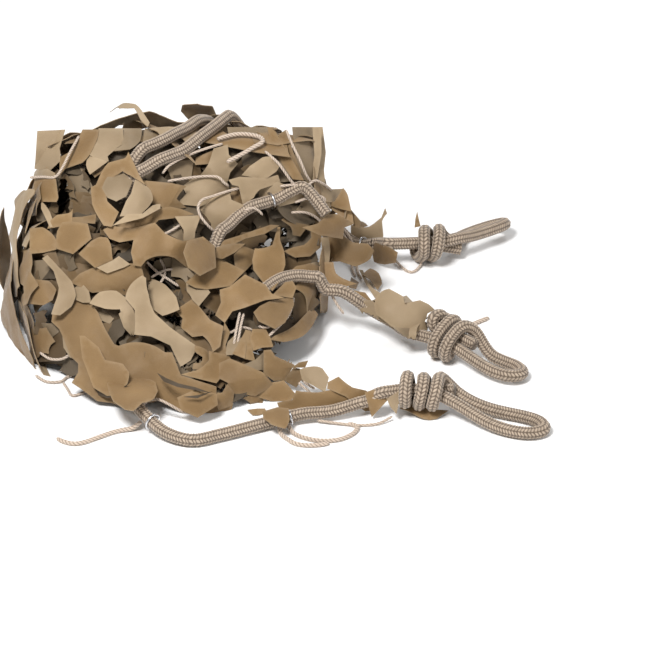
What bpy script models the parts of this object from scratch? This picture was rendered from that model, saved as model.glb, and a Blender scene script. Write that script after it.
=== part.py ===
"""Camouflage netting: a crumpled heap of leaf-cut cloth on a net, with its braided edge rope
and three knotted end loops laid out to the right.

Metres, +Z up. The net rests on Z = 0, its front is at -Y and the end loops are at +X.
Tables are in millimetres and are turned into metres as they are used.
"""

import bisect
import math

import bmesh
import bpy
import numpy as np
from mathutils import Matrix, Vector
from mathutils.bvhtree import BVHTree
from mathutils.geometry import delaunay_2d_cdt

MM = 0.001

# ---- driving dimensions -------------------------------------------------------------------
CLOTH = 2.0 * MM            # thickness of the garnish cloth, with the net it is clipped to
ROPE = 10.0 * MM            # braided edge rope
TWINE = 3.4 * MM            # twisted lashing twine
CLIP_WIRE = 1.8 * MM        # hog-ring wire
GAP = 0.35 * MM             # running gap between pieces that touch
LIFT = 0.3 * MM             # step in which a rope is raised until it clears the cloth
LIFT_PASSES = 50
BETWEEN = (0, 0.25, 0.5, 0.75, 1)   # places along a stretch of rope where its clearance is read
SMOOTH_STEPS = 400          # places at which a route is read before it is spaced out evenly
ABOVE_FLOOR = 0.2           # ropes and strips on the ground stay this far above it, mm
CLIP_ROOM = 0.7 * MM        # a rope on the cloth is raised this much for its clip
CLOTH_FACET = 16.0          # mesh size of the cloth, mm
LAYERS = 5                  # layers of the heap, folded back and forth
FOLD_PATH = 0.2             # each fold's share of the path, where a layer is 1
PATH_MM = 300.0             # flat length that one layer counts for when the cloth is meshed
PATH_END = (LAYERS - 1) * (1 + FOLD_PATH) + 1
LAYER_PITCH = 6.0           # mid-plane to mid-plane of the layers where they are closest, mm
BOTTOM_MID = 1.0            # mid-plane of the layer on the ground, mm
FOLD_INSET = 17.0           # how far the lowest front fold stays behind the front foot, mm
UPPER_FOLD = 0.4            # the upper front fold's place, from the section's low point to its mid one
BACK_INSET = 10.0           # how far the back folds stay inside the back foot, mm

CLOTH_COLOUR = (0.386, 0.262, 0.145)
ROPE_COLOUR = (0.402, 0.323, 0.262)
TWINE_COLOUR = (0.73, 0.56, 0.44)
CLIP_COLOUR = (0.62, 0.62, 0.63)

# ---- the heap: one row for each section across it, in mm ----------------------------------
#  x     foot    low y  z    mid y  z    high y  z    ridge y  z     back
SECTIONS = (
    (-132, -12,   4, 18,     24, 38,     48, 52,      80, 56,       124),
    (-102, -62,   -46, 24,   -14, 64,    26, 100,     82, 118,      158),
    (-62, -84,    -66, 24,   -28, 68,    16, 112,     86, 140,      170),
    (-22, -106,   -82, 25,   -34, 66,    16, 112,     90, 142,      176),
    (18, -134,    -98, 23,   -46, 50,    20, 98,      90, 140,      178),
    (56, -122,    -92, 21,   -42, 40,    36, 80,      88, 138,      176),
    (92, -104,    -76, 20,   -28, 36,    50, 62,      84, 142,      170),
    (120, -58,    -32, 23,   10, 40,     62, 64,      92, 138,      162),
    (134, 0,      20, 22,    44, 36,     74, 58,      100, 74,      160),
    (152, 50,     62, 20,    80, 34,     98, 46,      118, 46,      156),
    (170, 84,     92, 17,    102, 22,    112, 27,     124, 27,      142),
)
FOOT_Z = 7.0                # the free front edge of the top layer hangs at this height, mm
BACK_Z = 25.0               # the upper back fold's top, mm

# ---- free edges of the cloth: how far each layer reaches along X --------------------------
#  layer 0 is on the ground and the last on top; place runs along a layer in the path's direction,
#  to the front on even layers and to the back on odd ones
#  layer  place  left x  right x
REACH = (
    (0, 0.0, -112, 108),
    (0, 0.5, -122, 104),
    (0, 0.7, -112, 80),
    (0, 1.0, -96, 78),
    (1, 0.0, -98, 80),
    (1, 0.3, -106, 82),
    (1, 0.5, -116, 104),
    (1, 1.0, -104, 118),
    (2, 0.0, -106, 120),
    (2, 0.5, -122, 106),
    (2, 0.7, -110, 82),
    (2, 1.0, -90, 84),
    (3, 0.0, -88, 84),
    (3, 0.3, -100, 82),
    (3, 0.5, -114, 104),
    (3, 1.0, -106, 124),
    (4, 0.0, -108, 134),
    (4, 0.3, -130, 126),
    (4, 0.4, -128, 134),
    (4, 0.5, -126, 146),
    (4, 0.6, -124, 136),
    (4, 0.67, -119, 114),
    (4, 0.72, -116, 98),
    (4, 0.77, -113, 86),
    (4, 0.84, -108, 98),
    (4, 1.0, -86, 104),
)
LOBE_MM = 46.0              # spacing of the lobes along a free edge
LOBE_DEPTH = 12.0           # how far each lobe stands out
LOBE_SHIFT = 18.0           # the lobes of opposite edges are this far out of step
HEM_IN = 4.0                # the front and back hems lie this far inside the path's ends
EDGE_POINTS, HEM_POINTS = 92, 14
RIM_CLEAR = 0.55            # mesh points keep this share of a facet from the rims
PROFILE_STEPS = 24          # places at which a section's profile is read

# ---- crumples: long waves in the top layer, in mm and degrees -----------------------------
#  height  wavelength  heading  start
CRUMPLES = (
    (4.0, 64, 20, 10),
    (3.0, 47, 105, 50),
    (2.5, 38, 65, 0),
)
CRUMPLE_SHARE = 0.10        # a crumple stands no higher than this share of the heap's height
PLEAT_X, PLEAT_Y = 84, 56   # pleats hang at the right end of the ridge, past these places
PLEAT_MM, PLEAT_DEPTH = 21.0, 6.5

# ---- the largest gaps in the cloth --------------------------------------------------------
#  layer  place  x  half across  half along  turn in degrees
GAPS = (
    (4, 0.45, -42, 16, 16, 15),
    (4, 0.49, -86, 13, 11, 30),
    (4, 0.61, -2, 18, 15, -30),
    (4, 0.70, 3, 9, 8, 20),
    (4, 0.78, -68, 11, 10, 10),
    (4, 0.79, 25, 12, 9, 40),
    (4, 0.54, 35, 12, 9, 0),
    (4, 0.54, 80, 13, 13, 25),
    (4, 0.56, 122, 8, 14, 10),
    (4, 0.65, 68, 12, 9, -15),
    (4, 0.73, 56, 11, 11, 30),
    (4, 0.88, 42, 10, 8, 0),
    (3, 0.44, -30, 16, 15, 20),
    (2, 0.50, 60, 17, 15, -10),
    (1, 0.36, 2, 11, 12, 0),
    (0, 0.48, 2, 12, 12, 0),
    (0, 0.15, 86, 17, 16, -15),
)
GAP_POINTS = 9
GAP_SWELL = 0.18            # how far a gap's outline swells and draws in

# ---- rope, twine and clip routes, in mm ---------------------------------------------------
#  x, y, z of the rope's middle; each ends where its end loop's knot begins
ROPE_FRONT = (
    (-36, -97, 16.4), (-30, -112, 17.4), (-17, -132, 13), (-5.6, -147, 8.8), (8, -157, 6.4),
    (24, -161, 5.4), (48, -151, 5.4), (80, -136, 6), (104, -128, 8.4), (122, -124, 8.2),
    (138, -120, 8), (150, -117, 12),
)
ROPE_BACK = (
    (131.5, 155, 22), (142, 149, 12), (154, 141, 8.6), (164, 136, 13),
)
#  ropes and twines that lie on the top layer: x, y and the least z
ROPE_MIDDLE = (
    (69, -26, 0), (78, -10, 0), (91, 4, 0), (104, 10, 0), (116, 11, 0), (128, 9, 40), (139, 7, 34),
    (150, 6, 25), (160, 6, 19), (174, 1, 17),
)
ROPE_TOP_NEAR = (
    (-47, 24, 0), (-38, 34, 0), (-24, 48, 0), (-4, 66, 0), (16, 98, 0), (28, 124, 0), (36, 146, 0),
)
ROPE_TOP_FAR = (
    (-36, 22, 0), (-22, 35, 0), (-6, 46, 0), (12, 62, 0), (32, 92, 0), (46, 118, 0), (58, 140, 0),
)
ROPE_ARCH = ((34, 6, 0), (44, 22, 0), (60, 40, 0), (84, 55, 0), (102, 62, 0), (115, 62, 0), (125, 52, 0))
TWINE_TOP = ((38, 78, 0), (52, 86, 0), (68, 86, 0), (75, 78, 0), (58, 66, 0), (46, 58, 0))
#  x, y, z of twines that lie on the ground
TWINE_FRONT = (
    (-82, -153, 2), (-74, -159, 2), (-64, -160, 2), (-47, -149, 2), (-36, -142, 2), (-25, -140, 3.2),
    (-17.8, -137.5, 7.6),
)
TWINE_CURL = (
    (88.1, -138.4, 4.3), (90, -146, 2), (97, -156, 2), (104, -162, 2), (116, -163, 2), (127, -160, 2),
)
TWINE_FRAYED = (
    (95, -136.4, 5.2), (99, -144, 2.2), (108, -152, 2), (122, -156.5, 2), (136, -154, 2), (146, -145, 2),
    (149, -136, 2), (142, -131, 2),
)
TWINE_KNOT = (
    (206.7, -3.9, 20), (213, 2, 22.5), (221, 9, 19), (231, 15, 9), (240, 20.5, 3), (248, 27, 2),
    (256, 33, 2),
)

#  the knot's middle; its line's turn about +Z and roll about itself; its wraps; the eye's turn, its
#  length from the knot's middle, its width, and how much higher its near side lies
#  name  knot x  knot y  heading  roll  wraps  eye turn  length  width  tilt
END_LOOPS = (
    ("front", 195, -109, 6, -32, 2.6, -26, 109, 29, 0),
    ("middle", 216, -22, -28, 20, 2.2, -8, 79, 29, 4),
    ("back", 206, 127, 4, -40, 2.0, 31, 85, 26, 13),
)
JOIN_STEPS = (0.6, 4, 8)     # first points of an end loop past its rope's end, mm
KNOT_SEAT = 2.6             # the knots lie on strips of cloth this high, mm
KNOT_STEP = 0.72            # spacing of the points along an end loop, in rope widths
KNOT_PASSES = 260           # steps in which a knot is drawn together

#  rope that a hog ring closes round, and its place along that rope
CLIPS = (
    ("clip_front_left", "rope_front", 0.235),
    ("clip_front_right", "rope_front", 0.755),
    ("clip_back", "rope_back", 0.78),
    ("clip_arch", "rope_arch", 0.62),
)
CLIP_SIDES, WIRE_SIDES = 20, 6

#  strips of garnish on the ropes: name, then rows across it from its first edge to its last,
#  each an x, y, z in mm
STRIPS = {
    "garnish_leaf_front": (
        ((74, -149, 1.4), (74, -145, 9), (75, -139, 12.8), (76, -131, 10.2)),
        ((80, -152, 3), (80, -144, 10.8), (81, -136, 13.2), (82, -128, 10.2)),
        ((87, -153, 5.7), (87, -142, 12), (88, -133, 13.9), (88, -125, 11)),
        ((93, -150, 8.2), (93, -140, 13), (93, -131, 14.6), (92, -123, 12)),
    ),
    "garnish_leaf_left": (
        ((-43, -108, 16), (-41, -120, 22.5), (-38, -130, 20), (-36, -138, 14.5)),
        ((-30, -106, 24.5), (-27, -120, 24.5), (-25, -133, 21.5), (-25, -140, 15.5)),
        ((-14, -108, 18), (-12, -122, 23), (-13, -133, 20.5), (-15, -139, 17)),
    ),
    "garnish_front_strip": (
        ((92, -116, 3), (92, -106, 12), (94, -92, 16.4), (98, -72, 22.3)),
        ((118, -112, 3), (119, -103, 15), (121, -90, 22), (122, -76, 4)),
        ((142, -108, 6), (143, -98, 20), (144, -88, 18), (146, -78, 2)),
        ((164, -104, 6), (165, -96, 20), (166, -88, 16), (168, -80, 2)),
        ((182, -102, 18), (183, -96, 21), (184, -90, 15), (185, -84, 2)),
    ),
    "garnish_strip_knot": (
        ((186, -125.4, 1.1), (186, -119.4, 1.1), (187, -113.4, 1.1)),
        ((203, -132.4, 1.1), (204, -123.4, 1.1), (204, -114.4, 1.1)),
        ((222, -123.4, 1.1), (221, -118.4, 1.1), (220, -113.4, 1.1)),
    ),
    "garnish_leaf_back": (
        ((156, 145.4, 1.2), (166, 147.4, 1.2), (178, 146.4, 1.2)),
        ((160, 148.4, 14), (168, 150.4, 15), (176, 148.4, 14)),
        ((168, 150.4, 28), (171, 151.4, 29), (174, 150.4, 28)),
    ),
}
#  the sleeve round the middle rope: its radius and the turns of its two edges, evenly along it
SLEEVE = (
    (6.7, -110, 140),
    (13.0, -140, 160),
    (18.0, -160, 150),
    (18.0, -150, 155),
    (14.0, -120, 140),
)
LEAF_TIP = 0.45             # a strip's width at its ends, as a share of its width
LEAF_ROWS, LEAF_COLUMNS = 6, 8
SLEEVE_BEFORE, SLEEVE_AFTER = 28.0, 36.0    # its reach before and past the end loop's start, mm
SLEEVE_ROWS, SLEEVE_COLUMNS = 12, 15
SLEEVE_WAVE = 0.1           # how far its wall waves, as a share of its radius
SLEEVE_EASE = 6.0           # the rope's heading is read over this far each way, mm


def main():
    clear_scene()
    cloth_look = material("garnish_cloth", CLOTH_COLOUR, 0.7)
    cloth = garnish_net(cloth_look)
    rope_look = material("braided_rope", ROPE_COLOUR, 0.85)
    twine_look = material("twisted_twine", TWINE_COLOUR, 0.9)
    clip_look = material("clip_steel", CLIP_COLOUR, 0.3, 1.0)

    bed = tree_of(cloth)
    routes = {
        "rope_front": smooth(ROPE_FRONT),
        "rope_middle": lie_on(bed, ROPE_MIDDLE, ROPE),
        "rope_back": smooth(ROPE_BACK),
        "rope_top_near": lie_on(bed, ROPE_TOP_NEAR, ROPE),
        "rope_top_far": lie_on(bed, ROPE_TOP_FAR, ROPE),
        "rope_arch": lie_on(bed, ROPE_ARCH, ROPE, CLIP_ROOM),
    }
    for name, route in routes.items():
        rope(name, route, ROPE, rope_look)
    for end, *shape in END_LOOPS:
        name = "end_loop_" + end
        routes[name] = end_loop_route(routes["rope_" + end], *shape)
        rope(name, routes[name], ROPE, rope_look)
    for name, host, place in CLIPS:
        clip(name, routes[host], place, clip_look)
    rope("twine_top", lie_on(bed, TWINE_TOP, TWINE), TWINE, twine_look)
    for name, route in (("twine_front", TWINE_FRONT), ("twine_curl", TWINE_CURL),
                        ("twine_frayed", TWINE_FRAYED), ("twine_knot", TWINE_KNOT)):
        rope(name, smooth(route, 8), TWINE, twine_look)
    for name, rows in STRIPS.items():
        cloth_strip(name, rows, cloth_look)
    sleeve("garnish_sleeve", routes["rope_middle"], routes["end_loop_middle"], cloth_look)


def clear_scene():
    for thing in list(bpy.data.objects):
        bpy.data.objects.remove(thing)


def material(name, colour, roughness, metallic=0.0):
    look = bpy.data.materials.new(name)
    look.use_nodes = True
    shader = look.node_tree.nodes["Principled BSDF"]
    shader.inputs["Base Color"].default_value = (*colour, 1)
    shader.inputs["Roughness"].default_value = roughness
    shader.inputs["Metallic"].default_value = metallic
    return look


def show(name, mesh, look):
    thing = bpy.data.objects.new(name, mesh)
    bpy.context.collection.objects.link(thing)
    mesh.materials.append(look)
    return thing


# ---- curves ------------------------------------------------------------------------------
def spline(rows, at):
    """The smooth curve through rows of numbers, read at a place between 0 and 1."""
    rows = np.asarray(rows, float)
    last = len(rows) - 1
    place = min(max(at, 0.0), 1.0) * last
    i = min(int(place), last - 1)
    f = place - i
    before = rows[max(i - 1, 0)]
    after = rows[min(i + 2, last)]
    a, b = rows[i], rows[i + 1]
    bend = 2 * before - 5 * a + 4 * b - after
    twist = 3 * (a - b) + after - before
    return a + 0.5 * f * (b - before + f * (bend + f * twist))


def smooth(rows, step=22.0):
    """Points about one step apart, in metres, on the smooth curve through a route in mm."""
    fine = np.array([spline(rows, k / SMOOTH_STEPS) for k in range(SMOOTH_STEPS + 1)])
    run = np.concatenate([[0], np.cumsum(np.linalg.norm(np.diff(fine, axis=0), axis=1))])
    places = np.linspace(0, run[-1], max(int(run[-1] / step) + 1, 4))
    return np.stack([np.interp(places, run, fine[:, k]) for k in range(fine.shape[1])], axis=1) * MM


def rope(name, points, thickness, look):
    """A filled round tube along points in metres."""
    data = bpy.data.curves.new(name, "CURVE")
    data.dimensions = "3D"
    data.bevel_depth = thickness / 2
    data.bevel_resolution = 2
    data.use_fill_caps = True
    line = data.splines.new("POLY")
    line.points.add(len(points) - 1)
    for point, place in zip(line.points, points):
        point.co = (*place, 1)
    thing = bpy.data.objects.new(name, data)
    bpy.context.collection.objects.link(thing)
    data.materials.append(look)
    return thing


def tree_of(thing):
    """The finished surface of an object, for laying other pieces on it."""
    bpy.context.view_layer.update()
    depsgraph = bpy.context.evaluated_depsgraph_get()
    mesh = thing.evaluated_get(depsgraph).to_mesh()
    return BVHTree.FromPolygons([v.co for v in mesh.vertices], [p.vertices for p in mesh.polygons])


def lie_on(bed, route, thickness, under=0.0):
    """The route of a rope that lies on the cloth, or on a clip there: z in the route is its least height."""
    fine = smooth(route, 3)
    clear = thickness / 2 + GAP + under
    heights = []
    for x, y, least in fine:
        hit = bed.ray_cast(Vector((x, y, 1)), Vector((0, 0, -1)))[0]
        place = Vector((x, y, max(least, hit.z + clear) if hit else least))
        while bed.find_nearest(place)[3] < clear:
            place.z += LIFT
        heights.append(place.z)
    span = 4 if thickness == ROPE else 3
    bridged = [max(heights[max(i - span, 0):i + span + 1]) for i in range(len(heights))]
    eased = [float(np.mean(bridged[max(i - 2, 0):i + 3])) for i in range(len(bridged))]
    points = [(x, y, max(z, h)) for (x, y, _), z, h in zip(fine, eased, heights)]
    route = np.array([points[i] for i in range(0, len(points) - span, span)] + points[-1:])
    for _ in range(LIFT_PASSES):
        for a, b in zip(route, route[1:]):
            if min(bed.find_nearest(Vector(a + (b - a) * f))[3] for f in BETWEEN) < clear:
                a[2] += LIFT
                b[2] += LIFT
    closest = min(bed.find_nearest(Vector(a + (b - a) * f))[3]
                  for a, b in zip(route, route[1:]) for f in BETWEEN)
    route[:, 2] -= max(closest - clear, 0)
    return route


# ---- the end loops -----------------------------------------------------------------------
def knot_line(wraps):
    """The rope's line in a loose noose, in rope widths: +X towards the eye.

    The rope goes straight through, round the eye, back in wraps over itself and the tail,
    and the tail comes out under the wraps on the eye's side. The eye's own points are left out.
    """
    in_and_out = [(-4.2, -0.5, 0), (-3, -0.5, 0), (-2, -0.5, 0), (-1, -0.5, 0), (0, -0.5, 0), (1, -0.5, 0),
                  (2, -0.55, 0), (2.8, -0.7, -0.1)]
    back = [(2.7, 1.05, 0.1)]
    first = 0.5 * wraps + 0.45
    steps = int(wraps * 12)
    for k in range(steps + 1):
        turn = math.radians(20) + math.tau * wraps * k / steps
        flat = math.cos(turn)
        wide = 1.06 * flat + math.copysign(0.5 * min(1, abs(flat) * 1.6), flat)
        back.append((first - 1.02 * wraps * k / steps, wide, 1.06 * math.sin(turn)))
    x, y, z = back[-1]
    back += [(x - 0.75, 0.62 * y + 0.2, 0.5 * z), (x - 0.85, 0.5, 0), (x - 0.1, 0.5, 0), (x + 0.8, 0.5, 0),
             (0.6, 0.5, 0), (first, 0.5, 0), (first + 0.35, 0.5, 0)]
    return np.array(in_and_out, float), np.array(back, float)


def end_loop_route(lead, knot_x, knot_y, heading, roll, wraps, eye_turn, length, across, tilt):
    """One rope: in from the lead, through the knot, round the eye, back in wraps, and a cut tail."""
    width = ROPE / MM
    rolled = np.array(Matrix.Rotation(math.radians(roll), 3, "X"))
    going, coming = (part @ rolled.T for part in knot_line(wraps))
    lift = 1.55 + KNOT_SEAT / width
    side = math.copysign(1, coming[0][1] - going[-1][1])
    turn = np.array(Matrix.Rotation(math.radians(eye_turn), 3, "Z"))
    reach, half = length / width, across / width / 2
    eye = []
    for far, out in ((0.45, -0.55), (0.62, -0.82), (0.80, -1), (0.93, -0.82), (1, -0.35),
                     (1, 0.35), (0.93, 0.82), (0.80, 1), (0.62, 0.85), (0.45, 0.62)):
        place = turn @ np.array([reach * far, side * half * out, 0])
        near = 0.5 - 0.5 * side * out
        place[2] = 0.52 - lift + tilt / width * near
        eye.append(place)
    turned = np.array(Matrix.Rotation(math.radians(heading), 3, "Z"))
    middle = np.array([knot_x, knot_y, lift * width])
    body = np.concatenate([going, eye, coming]) @ turned.T * width + middle
    ahead = (lead[-1] - lead[-2]) / np.linalg.norm(lead[-1] - lead[-2])
    join = [lead[-1] / MM + ahead * step for step in JOIN_STEPS]
    keep = (body[:4] - join[-1]) @ ahead > 2
    body = np.concatenate([body[:4][keep], body[4:]])
    route = smooth(np.concatenate([join, body]), KNOT_STEP * width) / MM
    return draw_together(route, width * 1.035) * MM


def draw_together(p, apart):
    """Relaxes a rope's line: it keeps its length, bends gently and never comes within its own width."""
    link = np.linalg.norm(np.diff(p, axis=0), axis=1).mean()
    i, j = np.triu_indices(len(p), 1)
    distant = (j - i) * link > 1.75 * apart
    i, j = i[distant], j[distant]
    held = p[:4].copy()
    for _ in range(KNOT_PASSES):
        for odd in (0, 1):
            k = np.arange(odd, len(p) - 1, 2)
            step = p[k + 1] - p[k]
            length = np.linalg.norm(step, axis=1)[:, None]
            move = 0.25 * (length - link) / length * step
            p[k] += move
            p[k + 1] -= move
        p[1:-1] += 0.1 * (0.5 * (p[:-2] + p[2:]) - p[1:-1])
        between = p[j] - p[i]
        distance = np.linalg.norm(between, axis=1)
        close = distance < apart
        a, b, distance = i[close], j[close], distance[close]
        move = (0.5 * (apart - distance) / distance)[:, None] * between[close]
        shares = np.maximum(np.bincount(np.concatenate([a, b]), minlength=len(p)), 1)[:, None]
        total = np.zeros_like(p)
        np.add.at(total, a, -move)
        np.add.at(total, b, move)
        p += 1.1 * total / shares
        p[:, 2] = np.maximum(p[:, 2], ROPE / MM / 2 + ABOVE_FLOOR)
        p[:4] = held
    return p


def clip(name, route, place, look):
    """A hog ring closed round a rope: a turned ring of wire, square to the rope's line."""
    at = place * (len(route) - 1)
    i = int(at)
    middle = route[i] + (route[i + 1] - route[i]) * (at - i)
    along = Vector(route[i + 1] - route[i])
    mesh = bmesh.new()
    radius = ROPE / 2 + GAP + CLIP_WIRE / 2
    rings = []
    for k in range(CLIP_SIDES):
        turn = math.tau * k / CLIP_SIDES
        out = Vector((math.cos(turn), math.sin(turn), 0))
        ring = []
        for m in range(WIRE_SIDES):
            part = math.tau * m / WIRE_SIDES
            reach = radius + CLIP_WIRE / 2 * math.cos(part)
            ring.append(mesh.verts.new(out * reach + Vector((0, 0, CLIP_WIRE / 2 * math.sin(part)))))
        rings.append(ring)
    for k in range(CLIP_SIDES):
        a, b = rings[k], rings[(k + 1) % CLIP_SIDES]
        for m in range(WIRE_SIDES):
            after = (m + 1) % WIRE_SIDES
            mesh.faces.new((a[m], b[m], b[after], a[after]))
    stand = along.to_track_quat("Z", "Y").to_matrix().to_4x4()
    mesh.transform(Matrix.Translation(Vector(middle)) @ stand)
    bmesh.ops.recalc_face_normals(mesh, faces=mesh.faces)
    data = bpy.data.meshes.new(name)
    mesh.to_mesh(data)
    mesh.free()
    return show(name, data, look)


def thicken(thing):
    thick = thing.modifiers.new("thickness", "SOLIDIFY")
    thick.thickness = CLOTH
    thick.offset = 0
    return thing


def grid_sheet(name, grid, look):
    """A sheet of cloth on rows of points, given its thickness."""
    mesh = bmesh.new()
    verts = [[mesh.verts.new(place) for place in row] for row in grid]
    for row, above in zip(verts, verts[1:]):
        for k in range(len(row) - 1):
            mesh.faces.new((row[k], row[k + 1], above[k + 1], above[k]))
    data = bpy.data.meshes.new(name)
    mesh.to_mesh(data)
    mesh.free()
    return thicken(show(name, data, look))


def cloth_strip(name, rows, look):
    """A leaf of garnish on its rows of points, narrower towards its two ends."""
    grid = []
    for k in range(LEAF_ROWS):
        u = k / (LEAF_ROWS - 1)
        width = LEAF_TIP + (1 - LEAF_TIP) * math.sin(math.pi * (0.1 + 0.8 * u)) ** 0.7
        line = []
        for m in range(LEAF_COLUMNS):
            v = 0.5 + (m / (LEAF_COLUMNS - 1) - 0.5) * width
            line.append(Vector(spline([spline(row, v) for row in rows], u)) * MM)
        grid.append(line)
    return grid_sheet(name, grid, look)


def sleeve(name, lead, loop, look):
    """Garnish wrapped round the rope where it meets its end loop, open along its underside."""
    line = np.concatenate([lead, loop[:12]]) / MM
    run = np.concatenate([[0], np.cumsum(np.linalg.norm(np.diff(line, axis=0), axis=1))])
    meeting = run[len(lead) - 1]
    grid = []
    for k in range(SLEEVE_ROWS):
        u = k / (SLEEVE_ROWS - 1)
        radius, start, end = spline(SLEEVE, u)
        place = meeting - SLEEVE_BEFORE + (SLEEVE_BEFORE + SLEEVE_AFTER) * u
        middle, before, after = (
            Vector([np.interp(place + away, run, line[:, axis]) for axis in range(3)])
            for away in (0, -SLEEVE_EASE, SLEEVE_EASE)
        )
        ahead = (after - before).normalized()
        side = ahead.cross(Vector((0, 0, 1))).normalized()
        up = side.cross(ahead)
        row = []
        for m in range(SLEEVE_COLUMNS):
            turn = math.radians(start + (end - start) * m / (SLEEVE_COLUMNS - 1))
            reach = radius * (1 + SLEEVE_WAVE * math.sin(3 * turn + k))
            spot = middle + (side * math.sin(turn) + up * math.cos(turn)) * reach
            spot.z = max(spot.z, CLOTH / MM / 2 + ABOVE_FLOOR)
            row.append(spot * MM)
        grid.append(row)
    return grid_sheet(name, grid, look)


# ---- the cloth ---------------------------------------------------------------------------
def section_at(x):
    """The row of the heap's table at a place along X, read smoothly between its rows."""
    stations = [row[0] for row in SECTIONS]
    i = min(max(bisect.bisect_right(stations, x) - 1, 0), len(stations) - 2)
    inside = (x - stations[i]) / (stations[i + 1] - stations[i])
    return spline(SECTIONS, (i + min(max(inside, 0), 1)) / (len(stations) - 1))


def top_layer(x, t):
    """Y and Z of the top layer, t = 0 at the front foot and 1 at the back fold."""
    _, foot, low_y, low_z, mid_y, mid_z, high_y, high_z, ridge_y, ridge_z, back = section_at(x)
    line = (
        (foot, FOOT_Z), (low_y, low_z), (mid_y, mid_z), (high_y, high_z),
        (ridge_y, ridge_z), (0.55 * back + 0.45 * ridge_y, 0.62 * ridge_z + 8), (back, BACK_Z),
    )
    y, z = spline(line, t)
    crumple = 0.0
    for height, length, heading, start in CRUMPLES:
        heading = math.radians(heading)
        run = x * math.cos(heading) + y * math.sin(heading)
        crumple += height * math.sin(math.tau * run / length + math.radians(start))
    limit = CRUMPLE_SHARE * z * math.sin(math.pi * min(max(t, 0), 1)) ** 0.5
    z += min(max(crumple, -limit), limit)
    hang = min(max((x - PLEAT_X) / PLEAT_MM, 0), 1) * min(max((y - PLEAT_Y) / PLEAT_MM, 0), 1) * (1 - t) * 2
    y -= PLEAT_DEPTH * hang * math.sin(math.tau * (x - PLEAT_X) / PLEAT_MM)
    return y, z


def layer_line(x, layer):
    """Where a layer runs at x: its front and back Y, and the top layer's profile above it."""
    row = section_at(x)
    places = [top_layer(x, k / PROFILE_STEPS) for k in range(PROFILE_STEPS + 1)]
    above_y = np.maximum.accumulate([y for y, _ in places])
    above_z = [z for _, z in places]
    front = row[1] + FOLD_INSET
    if layer > 1:
        front = row[2] + UPPER_FOLD * (row[4] - row[2])
    return front, row[10] - BACK_INSET, above_y, above_z


def layer_point(x, layer, t):
    """Y and Z of a layer's mid-surface, t = 0 at its front and 1 at its back."""
    if layer == LAYERS - 1:
        y, z = top_layer(x, t)
        return y - BACK_INSET * t ** 4, z
    front, back, above_y, above_z = layer_line(x, layer)
    y = front + (back - front) * t
    room = max(float(np.interp(y, above_y, above_z)) - BACK_Z, 0)
    return y, BOTTOM_MID + layer * LAYER_PITCH + room * layer / (LAYERS - 1)


def cloth_point(x, path):
    """The mid-surface of the folded cloth, in mm."""
    layer = min(int(path / (1 + FOLD_PATH)), LAYERS - 1)
    place = path - layer * (1 + FOLD_PATH)
    forward = layer % 2 == 0
    if place <= 1:
        y, z = layer_point(x, layer, 1 - place if forward else place)
        return x, y, z
    t = 0 if forward else 1
    y, low = layer_point(x, layer, t)
    _, high = layer_point(x, layer + 1, t)
    turn = math.pi * (place - 1) / FOLD_PATH
    radius = (high - low) / 2
    out = -radius if forward else radius
    return x, y + out * math.sin(turn), low + radius * (1 - math.cos(turn))


def path_of(layer, place):
    return layer * (1 + FOLD_PATH) + place


def reach_at(path, side):
    places = [path_of(row[0], row[1]) for row in REACH]
    return float(np.interp(path, places, [row[side] for row in REACH]))


def lobe(run):
    """How far a free edge stands out, at a distance along it: round lobes with sharp nicks."""
    return LOBE_DEPTH * (abs(math.sin(math.pi * run / LOBE_MM)) - 0.5)


def outline():
    """The cloth's free edge in flat coordinates: X, and path times PATH_MM."""
    points = []
    for k in range(EDGE_POINTS):
        path = PATH_END * k / EDGE_POINTS
        points.append((reach_at(path, 3) + lobe(path * PATH_MM), path * PATH_MM))
    left, right = reach_at(PATH_END, 2), reach_at(PATH_END, 3)
    for k in range(HEM_POINTS):
        x = right + (left - right) * k / HEM_POINTS
        points.append((x, PATH_END * PATH_MM + lobe(x) - HEM_IN))
    for k in range(EDGE_POINTS):
        path = PATH_END * (1 - k / EDGE_POINTS)
        points.append((reach_at(path, 2) - lobe(path * PATH_MM + LOBE_SHIFT), path * PATH_MM))
    left, right = reach_at(0, 2), reach_at(0, 3)
    for k in range(HEM_POINTS):
        x = left + (right - left) * k / HEM_POINTS
        points.append((x, HEM_IN - lobe(x + LOBE_SHIFT)))
    return points


def gap_outlines():
    rings = []
    for layer, place, x, across, along, turn in GAPS:
        path = path_of(layer, place)
        turn = math.radians(turn)
        ring = []
        for k in range(GAP_POINTS):
            angle = 2 * math.pi * k / GAP_POINTS
            swell = 1 + GAP_SWELL * math.cos(3 * angle + turn * 5)
            a, b = across * swell * math.cos(angle), along * swell * math.sin(angle)
            ring.append((x + a * math.cos(turn) - b * math.sin(turn),
                         path * PATH_MM + a * math.sin(turn) + b * math.cos(turn)))
        rings.append(ring)
    return rings


def inside(point, ring):
    x, y = point
    hit = False
    for (ax, ay), (bx, by) in zip(ring, ring[1:] + ring[:1]):
        if (ay > y) != (by > y) and x < (bx - ax) * (y - ay) / (by - ay) + ax:
            hit = not hit
    return hit


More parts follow.
